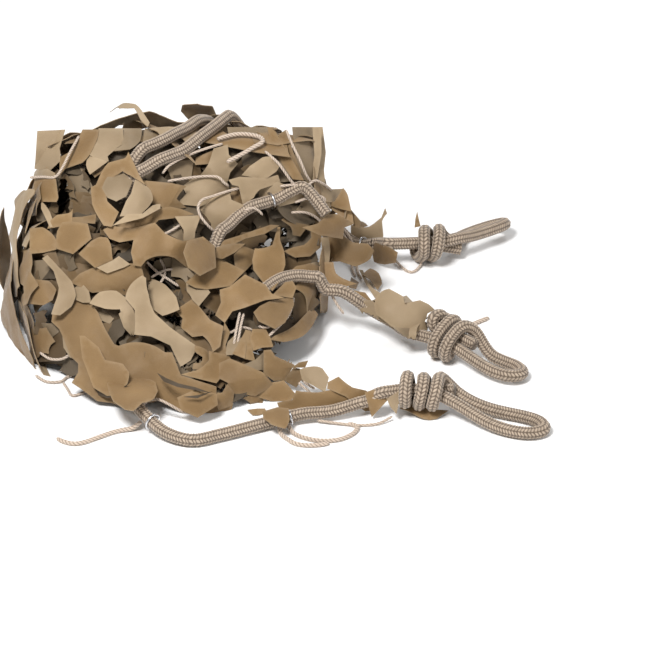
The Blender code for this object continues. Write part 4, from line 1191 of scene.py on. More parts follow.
BREAST_LEAVES = (
    (0, 3, 4, 8, 3, 0.97, ((-79, 122), (-62, 114), (-50, 115), (-36, 112), (-21, 126), (-24, 137),
     (-36, 137), (-47, 141), (-60, 134.5), (-72, 129))),
    (0, -3, 0, 0, 1, 0.5, ((-36, 135), (-28, 134), (-29, 150), (-34, 154), (-44, 152), (-48, 147),
     (-46, 142), (-42, 148, -0.2), (-36, 147, -0.1))),
    (1, 7, -6, -14, 1, 1.04, ((-58.5, 134), (-50, 129.5), (-37, 134), (-32, 136.5), (-41, 143),
     (-46, 139.5))),
    (0, 9, -10, 10, 2, 1.03, ((-73, 145), (-60, 134), (-46, 140), (-47, 150, 0.1), (-50, 157.5, 0.1),
     (-57, 158), (-63, 155))),
    (0, 7, 10, 10, 2, 0.99, ((-90, 149), (-77.5, 145), (-63, 157), (-66, 169), (-78, 170.5, 0.05),
     (-86, 170), (-90, 163, 0.1))),
    (0, 7, -20, 4, 2, 1.0, ((-112, 145), (-101, 146), (-91, 148.5, 0.1), (-91, 156, 0.18), (-102, 166),
     (-112, 165))),
    (0, -4, 12, 0, 2, 0.62, ((-79, 121), (-68, 128), (-60, 134), (-78, 145), (-89, 149), (-94, 140),
     (-86, 131))),
    (0, 0, -26, 0, 1, 0.55, ((-102, 144), (-87, 134), (-92, 148.5))),
    (1, 10, -28, 6, 2, 1.08, ((-95, 97), (-88, 96), (-79, 103, 0.06), (-75.5, 112, 0.08), (-79, 123),
     (-88, 133), (-98, 143.5), (-102, 141), (-93, 131), (-89, 118, -0.1), (-92, 106))),
    (0, 3, -16, 0, 1, 0.92, ((-112, 105), (-101, 104), (-94, 108), (-91, 116, 0.1), (-97, 123),
     (-112, 125))),
    (1, -4, -10, 0, 2, 0.58, ((-112, 120), (-102, 121), (-89, 117), (-89, 130), (-100, 140), (-112, 139))),
    (1, -5, 0, 10, 2, 0.55, ((-110, 72), (-97, 76), (-87, 84, 0.1), (-92, 89), (-108, 90))),
    (1, -6, 0, -12, 1, 0.30, ((-110, 56), (-74, 58), (-80, 66), (-100, 70), (-110, 68))),
    (0, -3, 0, -20, 1, 0.4, ((-112, 58), (-84, 60), (-82, 72), (-88, 84), (-110, 76))),
    (1, 3, 0, 0, 1, 0.95, ((-80, 62), (-74, 60), (-76, 70), (-79, 77), (-86, 80), (-85, 70))),
    (1, 2, 30, 0, 1, 0.95, ((-70, 106), (-63, 106), (-65, 115), (-70, 121, 0.1), (-78, 116), (-77, 109))),
    # the plate in the middle and the hexagon beside it
    (0, 12, 7, 8, 4, 1.0, ((-29, 136), (-23, 135), (-19, 140, -0.12), (-8, 143.5, -0.1), (3, 142),
     (14, 133.5), (24, 128), (34, 134), (35, 151), (26, 158.5), (10, 155, -0.04), (-4, 161),
     (-12, 169.5), (-30, 165), (-47, 167), (-53, 164), (-48, 157), (-40, 154), (-29, 156),
     (-31, 146, -0.05))),
    (0, 26, 3, 8, 1, 1.03, ((15, 134), (24, 127.5), (36.5, 134), (35.5, 151), (26, 158.5), (14, 155),
     (11, 146))),
    (0, 8, 10, -14, 2, 1.02, ((29, 116.5), (48, 119), (59.5, 131), (36, 142.5), (26, 133), (13, 122),
     (20, 118))),
    (1, 5, 8, 0, 1, 1.0, ((23, 103), (32, 114), (29, 118), (13, 122.5), (13.5, 115, -0.1), (18, 108))),
    (1, 8, -12, 0, 1, 1.06, ((11, 154.5), (19.5, 157.5), (20, 163), (24.5, 175.5), (4, 174.5), (11, 164))),
    (1, 3, 0, 0, 1, 0.75, ((0, 160), (12, 154), (9, 166), (3, 167))),
    (1, -6, 10, 14, 2, 0.66, ((-8, 130), (6, 136), (0, 142, 0.1), (-12, 139, 0.12), (-14, 133))),
    (1, -4, -16, 0, 1, 0.72, ((1, 127), (8, 126, -0.2), (13, 121), (21, 126.5), (13, 134.5), (2, 142))),
    # the ribbons that curl below it
    (1, 3, 24, 0, 3, 1.05, ((-14, 101), (-6, 95.5, 0.05), (7.5, 100.5), (5, 110, 0.06), (-4, 120, 0.1),
     (-17, 125), (-17.5, 113))),
    (1, 8, 0, -8, 4, 1.0, ((-29.5, 79.5), (-27, 92, 0.06), (-32, 106, 0.08), (-43, 115, 0.1),
     (-56, 114, 0.12), (-64, 105), (-52, 101, 0.04), (-40, 100.5), (-37, 90, 0.06))),
    (1, 7, -26, 0, 0, 1.1, ((-31, 79.5), (-33, 88), (-38, 99), (-41, 97), (-37, 86))),
    (1, -3, 14, 0, 1, 0.86, ((-56, 92), (-48, 89), (-45, 93), (-47, 101), (-58, 101))),
    (0, -5, 0, 14, 3, 0.66, ((-46, 70), (-36, 82), (-44, 90, 0.1), (-55, 89))),
    (1, 10, -6, 0, 2, 1.0, ((-28.5, 80.5), (-15, 79), (0, 72), (8, 55), (16, 60), (21.5, 71), (0, 86),
     (-12, 97, -0.1), (-17, 112, -0.1), (-19, 125), (-22, 127, 0.1), (-31, 120, 0.12), (-35.5, 109),
     (-28, 100, -0.06))),
)
APRON_LEAVES = (
    (0, 11, 4, -13, 5, 1.0, ((-78, 42), (-69, 36), (-58, 27.5), (-46, 26), (-29, 19.5), (-22, 26, 0.12),
     (-8, 29, 0.1), (9, 19), (22, 17), (36, 27), (36, 39), (8, 48), (1, 66), (-4.5, 66),
     (-10, 69.5, 0.24), (-41, 71), (-44.5, 72.5), (-47, 76.5, -0.05), (-57, 97), (-62, 104, 0.1),
     (-75, 110), (-81, 101), (-93, 99), (-94, 90), (-88, 84.5), (-84, 76), (-79, 63), (-73, 57),
     (-73, 50))),
    (0, 20, 6, -8, 4, 0.97, ((-61, 38), (-50, 31.5, 0.12), (-36, 38, 0.15), (-33, 50), (-38, 57),
     (-52, 60), (-57, 70), (-68, 79), (-72, 79), (-70, 62))),
    # the next three are thin crescents of tone 0.22: painted shadow at the edges of the lobes
    (0, 26, 6, -8, 0, 0.22, ((-61.5, 38), (-57.5, 32), (-50, 29.5), (-40, 32.5), (-32.5, 42),
     (-41, 35.5), (-50, 32.5), (-57, 35.5))),
    (0, 20, 0, -13, 0, 0.22, ((-10, 49.5), (-5, 43), (6, 38.5), (20, 36), (33, 33.5), (20, 38.2),
     (7, 41.2), (-3, 45.5))),
    (0, 23, 0, -13, 0, 0.22, ((11, 30.5), (22, 29.5), (34, 35), (22, 31.8))),
    (0, 19, 0, -10, 2, 1.01, ((9, 20), (22, 14), (38, 24), (37, 33), (20, 36), (6, 30))),
    (0, 7, 10, 6, 2, 0.97, ((9.5, 85.5), (18, 78.5), (26, 79.5, -0.2), (34, 66.5), (40, 71), (42.5, 87),
     (32, 92), (23, 103), (18, 108.5), (4.5, 99.5), (10.5, 93, 0.1))),
    (0, -2, 0, 10, 2, 0.60, ((19, 68), (35, 65), (34, 74, 0.1), (26, 80, 0.1), (15, 80))),
    (0, 4, -10, 0, 1, 0.93, ((18, 53), (24, 52, 0.12), (31.5, 60, 0.2), (29, 68, 0.1), (20, 71.5),
     (19.5, 67, 0.08), (26, 62.5, -0.3), (24, 57.5), (19, 57.5))),
    (0, 3, 20, 0, 1, 0.90, ((35, 66), (45.5, 62), (44.5, 72), (48, 82), (43.5, 90), (42, 80))),
    (0, 4, -4, 10, 2, 0.96, ((9, 48.5), (37, 41.5), (44, 50), (50, 57), (47, 63.5), (31, 67),
     (31.5, 60, -0.1), (22, 52))),
    (0, 7, 6, 10, 3, 1.0, ((50, 33.5), (68, 31.5), (76, 36), (82, 41), (74, 50), (60, 56), (48, 61),
     (39, 57), (38, 46), (46, 42), (49, 37))),
    (0, 5, -12, 0, 2, 0.97, ((36, 28), (39, 20), (50, 24), (51, 34), (46, 40.5), (42, 34, -0.2), (38, 34))),
    (0, 2, 6, -8, 2, 0.93, ((20, 14), (36, 12), (47, 13), (50, 24), (42, 28), (30, 24))),
    (0, 7, 24, 0, 1, 1.0, ((50, 65), (60, 61), (61, 72), (60, 83), (56, 75))),
    (0, 7, -22, 0, 1, 0.98, ((60, 61), (68, 59), (65.5, 70), (64.5, 83), (60, 84), (61, 72))),
    (1, 4, 12, 0, 1, 0.9, ((44, 64), (50, 64), (58, 77), (52, 80), (46, 74))),
    (0, 8, -6, 8, 1, 1.0, ((66.5, 67.5), (74, 70), (82.5, 70.5), (80, 78), (76.5, 84.5), (66, 84.5),
     (64, 78))),
    (0, 7, 8, 8, 1, 1.0, ((75, 49), (83, 43.5), (91, 44), (99.5, 56), (84, 63), (81, 68), (75, 67.5))),
    (1, 4, -20, 0, 1, 0.84, ((66, 52), (74.5, 52), (75.5, 67), (68, 60), (58, 56))),
    (0, 5, -4, 10, 2, 0.97, ((68, 31), (80, 27.5), (92, 24), (101, 32), (91, 43.5), (82, 42), (76, 36))),
    (0, 4, 6, 0, 1, 0.98, ((64, 19), (74, 20), (74.5, 30), (66, 32.5), (58, 29.5), (64, 26))),
    (0, 3, 0, 6, 1, 0.97, ((62, 20), (66, 16, 0.15), (77, 18), (76, 21), (70, 21))),
    (0, 4, 0, 0, 1, 0.95, ((97, 54), (108, 54), (110.5, 59.5), (103, 58, -0.1))),
    (0, 0, 0, 0, 1, 0.62, ((91, 44), (101, 38), (107, 47), (104, 53), (99, 54))),
)
FLANK_LEAVES = (
    (0, 13, 0, -10, 1, 0.95, ((36, 149), (46, 150), (60, 157), (76, 161), (87, 167.5), (80, 168),
     (60, 161), (44, 156))),
    (0, 20, 0, 14, 1, 0.72, ((36, 142), (42, 141), (52, 146), (60, 153), (48, 153), (37, 150))),
    (0, 2, -14, 0, 1, 0.85, ((52, 135), (60, 131), (67.5, 139), (67, 148), (58, 151), (51, 144))),
    (0, 16, 4, -8, 2, 1.0, ((82, 115.5), (88, 124), (92, 136, 0.05), (91, 147), (88, 155, -0.05),
     (88, 166), (86, 166), (82, 152, -0.15), (68, 149), (66, 140), (67, 132), (74, 123))),
    (0, 3, 0, 0, 1, 0.68, ((98, 160), (104, 159), (111, 168), (100, 170), (94, 175.5), (89, 172),
     (96, 167, -0.2))),
    (0, 4, -10, 0, 1, 0.86, ((91, 147), (100, 142), (112, 143), (120, 150), (121, 160), (112, 167),
     (113, 158, -0.1), (107, 152), (98, 150))),
    (0, 30, 0, 6, 3, 0.95, ((106, 166), (120, 160), (138, 157), (139, 166), (147, 169),
     (134, 176.5, 0.06), (126, 176), (118, 169))),
    (1, 6, 0, 6, 1, 1.0, ((120, 187), (131, 186), (138.5, 197), (127, 196.5), (121, 200))),
    (0, 8, 18, 0, 2, 0.92, ((124, 185), (136, 181), (145, 179), (142.5, 191, 0.12), (138.5, 197.5),
     (132, 187))),
    (0, 4, 30, 0, 1, 0.62, ((143, 175), (147, 167), (152, 165.5), (152.5, 171), (145, 180))),
    (0, 6, 0, -10, 1, 0.98, ((125, 183.5), (134, 177), (147, 168.5), (145.5, 179), (136, 182))),
    (0, 18, 14, 4, 2, 0.98, ((36.5, 96), (44, 90), (50, 99), (60, 102), (68, 105), (76, 108),
     (91, 109.5), (81, 113), (76, 120), (70, 123), (60, 128), (48, 118.5), (40, 116), (41, 106))),
    (0, -4, 0, 0, 1, 0.55, ((26, 104), (37, 97), (44, 106), (47, 118), (31, 118))),
    (0, 20, 0, 8, 1, 0.95, ((82, 112), (98, 109.5), (101, 118), (98, 123), (92, 122), (86, 116))),
    (0, 18, 4, -6, 2, 0.88, ((71, 91), (84, 85), (92, 90), (99, 104), (98, 110), (80, 107), (72, 103),
     (67, 98))),
    (0, -4, 0, 20, 2, 0.45, ((98, 87), (108, 93), (114, 100), (120, 106), (111, 115), (99, 113))),
    (0, 3, 0, -20, 2, 0.95, ((80, 76.5), (91, 74.5, 0.08), (106, 79, 0.1), (114, 88), (118, 96, 0.25),
     (112.5, 101), (104, 92, -0.1), (92, 83), (84, 79.5))),
    (0, 5, -10, 6, 2, 0.97, ((121, 138), (122.5, 124), (136, 111), (151, 102), (164, 104), (156, 114),
     (146, 116), (141, 119), (149.5, 121), (141, 124, -0.1), (133, 129, -0.1), (131, 138))),
    (1, 7, 22, 0, 1, 0.9, ((121.5, 137), (127, 135.5), (128, 147, 0.04), (126.5, 158), (120.5, 158),
     (122, 148))),
    (0, 1, 0, 0, 2, 0.78, ((126, 138.5), (136, 139), (148, 135, 0.1), (160, 141), (163, 148),
     (158, 153), (146, 154), (139, 159), (127, 159))),
    (0, 4, 0, 6, 2, 0.97, ((98, 128), (110, 127), (118, 130), (119, 135), (112, 137), (101, 135),
     (93, 128))),
)
#  the leaves on the ropes, each laid on its own strip of the frame
STRIP_LEAVES = {
    "garnish_front_strip": (
        (0, 5, 0, 12, 2, 0.97, ((88, 20), (100, 20.5), (118, 22), (149, 25), (142, 31), (131, 36.5),
         (118, 34, -0.04), (101, 35.5), (98, 28), (86, 26))),
        (1, 5, 10, 6, 2, 0.93, ((106, 44), (124, 34.5), (127, 46), (122, 53, 0.18), (113, 54.5, 0.12),
         (104, 52))),
        (0, 6, -12, 8, 2, 1.0, ((126, 37), (140, 31), (152, 22), (162, 15), (161, 27), (157, 35.5),
         (146, 38, -0.06), (135, 46.5), (126.5, 42))),
        (0, 17, 10, 6, 1, 1.02, ((161.5, 14.5), (175, 29), (170, 34), (162, 36), (156, 34))),
        (1, 17, 20, 0, 1, 1.0, ((176, 23), (181, 17), (185, 34), (180, 38.5), (169, 33), (174, 28))),
    ),
    "garnish_leaf_left": (
        (0, 0, 0, -44, 1, 1.0, ((-45, 27), (-36, 20.5), (-29, 19.5), (-22, 26, 0.1), (-13, 29),
         (-10, 35), (-12, 42), (-24, 48, 0.1), (-38, 49), (-50, 41, 0.1))),
    ),
    "garnish_leaf_front": (
        (0, 1, 0, 0, 2, 0.98, ((82, 8), (92, 5, 0.1), (95.5, 12), (95, 21), (86, 22), (74, 18.5),
         (75, 13))),
    ),
    "garnish_strip_knot": (
        (0, 1, 0, 0, 1, 0.98, ((184, 21), (190, 19.5), (199, 14.5, 0.1), (208, 12), (213, 13),
         (222.5, 19.5), (208, 20.5, -0.08), (197, 24.5), (187, 26))),
    ),
    "garnish_leaf_back": (
        (1, 1, 0, 0, 2, 0.95, ((145, 156), (155, 154), (170, 154), (170.5, 160), (169.5, 171, -0.1),
         (173.5, 177), (172, 181.5), (169, 174), (163, 169), (159, 166.5, -0.2), (151, 167.5), (145, 168))),
        (0, 3, 6, 0, 1, 0.74, ((146, 166), (152, 165.5), (158, 167.5, 0.2), (152, 171, 0.1))),
    ),
}
#  loose leaves past the heap, which lie on the ground or stand a little over it
LOOSE_LEAVES = (
    (0, 2, 0, 0, 2, 0.97, ((163.5, 138), (172, 136.5), (180.5, 138), (182, 146), (174, 151), (164, 154),
     (162, 146))),
    (1, 14, 20, 0, 1, 1.0, ((151.5, 132), (156, 122), (164, 109.5), (169, 113), (162, 117.5),
     (157, 125), (154.5, 131.5))),
    (0, 11, -20, 0, 1, 0.97, ((154, 128), (160, 124.5), (166, 116), (169.5, 121, 0.1), (167, 129, 0.15),
     (160, 133, 0.1))),
    (0, 9, 0, 0, 1, 0.62, ((143, 118), (149, 117), (151, 122), (145, 126))),
    (0, -2, 0, 0, 1, 0.95, ((195.7, 166), (200.5, 167), (199, 173), (197.7, 179), (196.3, 173))),
)
#  the outer layer of the wrapped sleeve as it is looked at
SLEEVE_LEAVES = (
    (1, 2, 0, 0, 3, 0.96, ((164, 104, 0.1), (166, 96), (178, 86.5), (193.5, 79.5), (203, 83),
     (205.5, 84), (203.5, 91, 0.12), (205.5, 97, 0.1), (210.8, 100.8), (206.5, 104.5), (199.7, 107.7),
     (187.8, 105.2), (186.5, 110.6), (181.5, 113.5), (175.5, 116.6, 0.1), (169.5, 114.5, 0.1),
     (165, 109, 0.05))),
    (1, -0.6, 0, 6, 1, 0.82, ((178, 86.5), (190, 77.5), (199, 75.8), (205.6, 80.4), (204, 86), (193, 85))),
    (0, -1.5, 0, 0, 1, 0.55, ((204, 92), (210.5, 100.5), (219, 99), (222, 96.5), (216, 93.5), (209, 95))),
    (1, 1, 0, 10, 1, 1.04, ((186.5, 110.6), (188, 105.5), (194, 106.5), (189, 111.5))),
)
#  hollows where only the deepest cloth, painted darkest as shade, is seen: x, v
HOLLOWS = (
    ((-91, 176), (-80, 176), (-79, 186), (-80, 196), (-82, 206), (-90, 206)),
    ((-20, 140), (-17, 127), (-10, 118), (0, 112), (10, 117), (6, 122), (0, 130), (2, 141), (-8, 143)),
    ((-100, 88), (-89, 88), (-89, 106), (-100, 106)),
    ((-100, 58), (-80, 58), (-78, 70), (-84, 78), (-100, 78)),
    ((-62, 196), (-56, 196), (-58, 216), (-70, 216), (-66, 206)),
    ((20, 105), (34, 98), (36, 117), (24, 117)),
    ((38, 75), (58, 82), (60, 98), (44, 90)),
    ((98, 87), (108, 93), (118, 106), (111, 113), (99, 112)),
    ((-34, 207), (-24, 209), (-20, 222), (-28, 227)),
    ((60, 129), (66, 131), (66, 150), (58, 150)),
    ((-48, 143), (-40, 143), (-38, 153), (-46, 151)),
)
#  where the view looks right through the heap: x, v
OPEN_PLACES = (
    ((66, 148), (80, 149), (82, 157), (77, 160), (76, 155)),
    ((88, 167), (92, 167), (93, 162), (95, 158), (91, 158), (89, 161)),
    ((89.5, 151), (93, 147.5), (98, 151), (102, 154), (95, 155), (91, 153)),
    ((99, 142), (110, 143), (104, 140.5), (100, 138)),
    ((114, 170.5), (116, 171), (116, 168), (113, 168)),
    ((113, 134), (120, 136), (120, 133), (115, 133)),
    ((131, 137), (136, 138), (137, 135), (146, 133), (148, 127), (143, 125), (141, 124), (134, 129),
     (131, 133)),
    ((144.5, 122), (147, 124), (148, 122), (146, 121)),
    ((98, 98), (99, 100), (99.5, 92), (98, 92)),
    ((-6, 94), (-2, 96), (4, 97), (9, 93), (10.5, 88), (9, 86), (3, 87), (-1, 89)),
    ((27, 97), (31, 98.5), (36.5, 97), (34, 92), (31, 93)),
    ((18, 58), (23, 62.5), (26.5, 62), (22, 57.5)),
    ((10, 54), (13, 57), (15, 52), (14, 55)),
    ((39, 34), (41, 39.5), (46, 38.5), (43, 33)),
    ((48, 13), (51, 20), (56, 24), (61, 25.5), (63, 24), (63, 21), (68, 17), (74, 16), (60, 14), (50, 11)),
    ((73.5, 20), (74, 27), (84, 25), (86.5, 20.5)),
    ((66.5, 67), (70, 69), (75, 69), (70, 64), (68, 64)),
    ((105, 40), (113, 38.5), (120, 35.5), (113, 36.5)),
    # past the heap's right edge
    ((84, 57), (99, 57), (110, 60), (160, 60), (160, 92), (124, 100), (118, 98), (112, 88), (104, 79),
     (92, 74.5), (83, 75), (82, 68)),
    ((148, 134), (170, 134), (170, 260), (119, 260), (120, 246), (121, 204), (127, 200), (142, 200),
     (147, 182), (148, 160)),
)


LAP = 1.015                     # leaves are drawn this much larger, so that neighbours lap over
LEAF_LOWEST = 0.5               # above the floor, mm


def bulged(corners):
    """Corners that all have their bulge."""
    return [(*corner, 0) if len(corner) == 2 else corner for corner in corners]


def leaf_outline(corners):
    middle = np.mean([c[:2] for c in corners], axis=0)
    return arcs([(middle[0] + (x - middle[0]) * LAP, middle[1] + (v - middle[1]) * LAP, bulge)
                 for x, v, bulge in bulged(corners)], 2.4)


def creases(flat, reach, chance):
    """How far a leaf drops past one or two folds that cross it."""
    drop = np.zeros(len(flat))
    for _ in range(chance.choice((1, 2))):
        turn = chance.uniform(0, math.tau)
        past = flat @ (math.cos(turn), math.sin(turn)) - chance.uniform(0.1, 0.6) * reach
        drop += math.tan(math.radians(chance.uniform(8, 25))) * np.maximum(past, 0)
    return drop


def draw_leaf(bundle, side, row, chance, facet=3.4, sink=0.0, gaps=None):
    """One leaf of a side: cut flat, crowned and leaned, and set on the cloth there."""
    back, lift, lean_x, lean_v, crown, tone, corners = row
    ring = leaf_outline(corners)
    flat, triangles, rim = cut_flat(ring, facet=facet)
    low, high = flat.min(axis=0), flat.max(axis=0)
    middle, half = (low + high) / 2, (high - low) / 2 + 1e-6
    near = (flat - middle) / half
    height = lift - sink + np.tan(math.radians(lean_x)) * (flat[:, 0] - middle[0])
    height += np.tan(math.radians(lean_v)) * (flat[:, 1] - middle[1])
    height += 0.5 * crown * (1 - (near ** 2).sum(axis=1)) + waves(flat, 0.9, 26, chance)
    height -= creases(flat - middle, min(half), chance)
    place = side.place(np.concatenate([flat, height[:, None]], axis=1), fitted(side, ring))
    place[:, 2] = np.maximum(place[:, 2], LEAF_LOWEST)
    bundle.add(flat, triangles, rim, place, tone * chance.uniform(0.88, 1.07), bool(back),
               drawn=True, gaps=gaps)


def moved_leaf(row, chance, mirror):
    """The same leaf a little turned, shifted and enlarged, and mirrored where it is asked for."""
    middle = np.mean([c[:2] for c in row[-1]], axis=0)
    turn = math.radians(chance.uniform(-28, 28))
    grow = chance.uniform(1.05, 1.3)
    shift = (chance.uniform(-5, 5), chance.uniform(-5, 5))
    corners = []
    for x, v, bulge in bulged(row[-1]):
        dx, dv = (x - middle[0]) * grow, (v - middle[1]) * grow
        corners.append((middle[0] + shift[0] + dx * math.cos(turn) - dv * math.sin(turn),
                        middle[1] + shift[1] + dx * math.sin(turn) + dv * math.cos(turn), bulge))
    if mirror:
        ends = [(-x, v) for x, v, _ in corners]
        bulges = [bulge for _, _, bulge in corners]
        corners = [(*ends[k], bulges[k - 1]) for k in range(len(corners) - 1, -1, -1)]
    return (*row[:-1], tuple(corners))


# ---- strings of the net that show between the leaves, drawn on the front: x, v, lift ---------------
NET_STRINGS = (
    ((-112, 206, 10), (-102, 206.5, 11), (-92, 206.5, 11), (-86, 214, 11), (-80, 226, 11),
     (-75, 235, 8), (-73, 239, 3)),
    ((-6, 209, 3), (0, 216, 6), (15, 224, 7), (30, 229.5, 8), (42, 233, 5)),
    ((76, 227, 6), (86, 218, 12), (92, 210, 11), (97, 203, 9), (101, 199, 6)),
    ((93, 244, 4), (99, 230, 8), (104, 220, 9), (109, 208, 8), (113, 202, 4)),
    ((-2, 203, 3), (10, 205, 6), (22, 206.5, 7), (32, 207, 7), (39, 206, 7), (43, 202, 7), (47, 199, 4)),
    ((56, 197.5, 4), (46, 195, 9), (34, 191, 9), (25.5, 188, 9), (22.5, 182, 9), (24, 176, 8),
     (29, 169, 9), (35, 163, 4)),
    ((-6, 160, 4), (2, 164, 6), (8, 168, 4)),
    ((88, 199, 7), (98, 200, 9), (106, 199, 9), (113, 195, 9), (118, 190, 4)),
    ((111, 195, 7), (112, 201, 9), (117, 203.5, 9), (124, 200, 9), (129, 196, 4)),
    ((100, 186, 8), (112, 190, 9), (120, 191, 9), (124, 187.5, 8), (120, 184, 6)),
    ((54, 169, 9), (57.5, 177, 11), (64, 181.5, 11), (70, 180, 10), (74, 176, 8)),
    ((97, 178, 6), (108, 178, 8), (116, 174.5, 8), (122, 169, 5)),
    ((-27, 17, 15), (-24, 22, 16), (-18, 27, 17), (-10, 28.5, 18), (0, 24, 18), (8, 19.5, 17),
     (14, 18, 15)),
    ((99, 110, 3), (97.5, 103, 7), (95, 96, 8), (90, 90, 9), (84, 84, 9), (79, 79, 8)),
    ((92, 101, 4), (88, 94, 8), (82, 88, 9), (76, 86, 8), (71, 87, 4)),
    ((-19, 139, -5), (-11, 131, -7), (-2, 125, -7), (7, 119, -5)),
    ((-15, 126, -7), (-6, 131, -7), (4, 133, -5)),
    ((-12, 118, -6), (-6, 124, -7), (-4, 132, -7), (-8, 141, -4)),
    ((-104, 66, -1), (-96, 61, -1), (-86, 61, -1), (-78, 66, -3)),
    ((56, 98, 3), (54, 89, 5), (52.5, 81, 5), (51, 72, 3)),
    ((59, 97, 3), (57, 89, 5), (55.5, 81, 5), (54, 73, 3)),
    ((38, 84, -2), (46, 81, -2), (57, 86, -1), (66, 84, -1)),
    ((116, 128, 8), (122, 122, 14), (128, 114, 15), (134, 104, 15), (139, 97, 12)),
)
#  strings that lie on the ground or over a rope: x, y, z
GROUND_STRINGS = (
    ((-104, -58, 2), (-95, -67, 1.6), (-84, -67, 1.6), (-79, -60, 1.6), (-70, -54, 2)),
    ((-82, -68, 1.6), (-78, -78, 1.6), (-74, -88, 1.6), (-68, -86, 1.6), (-60, -80, 2)),
    ((181, 129, 3), (188, 116, 1.6), (194, 109, 1.6), (199, 112, 1.6), (204, 122, 3)),
    ((136, 150, 22), (143, 143, 18), (148, 134, 11), (150, 120, 3), (151, 108, 1.6), (154, 98, 1.6)),
    ((94, -62, 10), (99, -72, 9), (106, -84, 8), (113, -90, 5)),
    ((97, -66, 10), (103, -72, 9), (110, -80, 7), (116, -82, 4)),
    ((118, -128, 3), (135, -131, 2), (150, -133, 1.6), (165, -131, 2), (176, -124, 4)),
    ((134, 152, 20), (141, 141, 16), (145, 128, 7), (146.5, 114, 1.6), (149, 102, 1.6)),
)
STRING = 2.1


def net_strings(front, look):
    """The net's strings in one joined piece."""
    routes = []
    for rows in NET_STRINGS:
        rows = smooth(np.array(rows, float), 3)
        depth, on_cloth = front.depths(rows[:, :2])
        depth = np.interp(np.arange(len(rows)), np.flatnonzero(on_cloth), depth[on_cloth])
        depth = np.convolve(np.pad(depth, 3, mode="edge"), np.ones(7) / 7, mode="valid")
        routes.append(front.eye + front.rays(rows[:, :2]) * (depth - rows[:, 2])[:, None])
    routes += [smooth(rows, 3) for rows in GROUND_STRINGS]
    parts = []
    for k, route in enumerate(routes):
        parts.append(cord_mesh("string_" + str(k), route, STRING, look, *STRING_TWIST)[0])
    bpy.ops.object.select_all(action="DESELECT")
    for part in parts:
        part.select_set(True)
    bpy.context.view_layer.objects.active = parts[0]
    bpy.ops.object.join()
    parts[0].name = "net_strings"


# ---- the cloth of the heap ------------------------------------------------------------------------
#  level under the skin, shift along the ridge, spread of the headings, how far tongues lift, tone (painted
#  shade, darker for the deeper level)
LEVELS = ((-16, 0, 4, 0.45, 0.38), (-30, 26, -8, 0.8, 0.20))
RIDGE_Y, RIDGE_Z, RIDGE_LONG, END_LONG = 84, 150, 250, 150
#  strips over the heap's two ends: start and heading
ENDS = (((-70, 60, 120), 180), ((-70, 110, 120), 165), ((100, 70, 100), 0), ((100, 110, 100), 12))
STRIP_LOWEST = 0.6              # above the floor, mm


def under_strips(skin, look, gaps):
    """Two levels of cut strips that hang over the heap from its ridge, each level set further in and
    painted darker as shade.
    """
    pieces = []
    for number, (level, shift, spread, bold, tone) in enumerate(LEVELS):
        chance = random.Random(40 + number)
        bundle = Bundle("garnish_strips_" + str(number + 1))
        lay = dict(level=level, bold=bold, tone=tone, gaps=gaps[number])
        for way, share in ((-90, 1.0), (90, 0.62)):
            for k in range(6):
                x = -116 + shift + 50 * k
                if x > 150:
                    continue
                start = (x, RIDGE_Y + chance.uniform(-6, 6), RIDGE_Z - 0.10 * abs(x))
                heading = way + spread * chance.uniform(-1, 1) + 0.10 * (x if way > 0 else -x)
                strip(bundle, skin, start, heading, RIDGE_LONG * share, chance, **lay)
        for start, heading in ENDS:
            strip(bundle, skin, start, heading, END_LONG, chance, **lay)
        pieces.append(bundle.finish(look))
    return pieces


def strip(bundle, skin, start, heading, length, chance, level, bold, tone, gaps):
    """One cut strip over the heap: how deep it lies, how far its tongues lift, and its tone, which paints
    the shade of that depth.
    """
    width = chance.uniform(66, 84)
    cuts = random_cuts(length, width, chance, bold)
    flat, triangles, rim = cut_flat(strip_border(length, width, chance), cuts, facet=5.6)
    height = waves(flat, 4.0, 60, chance)
    solid = np.concatenate([flat, height[:, None]], axis=1)
    for cut in cuts:
        cut.bend(flat, solid)
    lane = Lane(skin, start, heading, length, chance.uniform(-10, 10))
    place = lane.lay(solid, level)
    low = place[:, 2] < STRIP_LOWEST
    place[low, 2] = STRIP_LOWEST + 0.2 * chance.random()
    tone *= chance.uniform(0.93, 1.07)
    bundle.add(flat, triangles, rim, place, tone, chance.random() < 0.3, gaps=gaps)


#  the heap's other sides: name, turn of the view, whether the leaves are mirrored
OTHER_SIDES = (("back", 180, True), ("left", 270, False), ("right", 90, True))
SHOWN = (-106, 150, 238)        # the front's own leaves reach from here to here, and up to here
DARKEST = 0.3                   # a leaf darker than this is painted shadow for a slit of the front
FOOT_FROM, FOOT_TO, FOOT_STEP, FOOT_LEAF = -112, 152, 24.0, 46.0


def foot_leaves(side, chance):
    """Leaves along the foot of a side of the heap."""
    rows = []
    for x in np.arange(FOOT_FROM, FOOT_TO, FOOT_STEP):
        seen = [v for v in range(0, 120, 4) if side.depths(np.array([[x, v]]))[1][0]]
        if seen:
            corners = random_leaf(chance, x, seen[0] + chance.uniform(8, 15), FOOT_LEAF)
            rows.append((chance.random() < 0.4, 4, chance.uniform(-14, 14), -12, 3,
                         chance.uniform(0.85, 1), corners))
    return rows


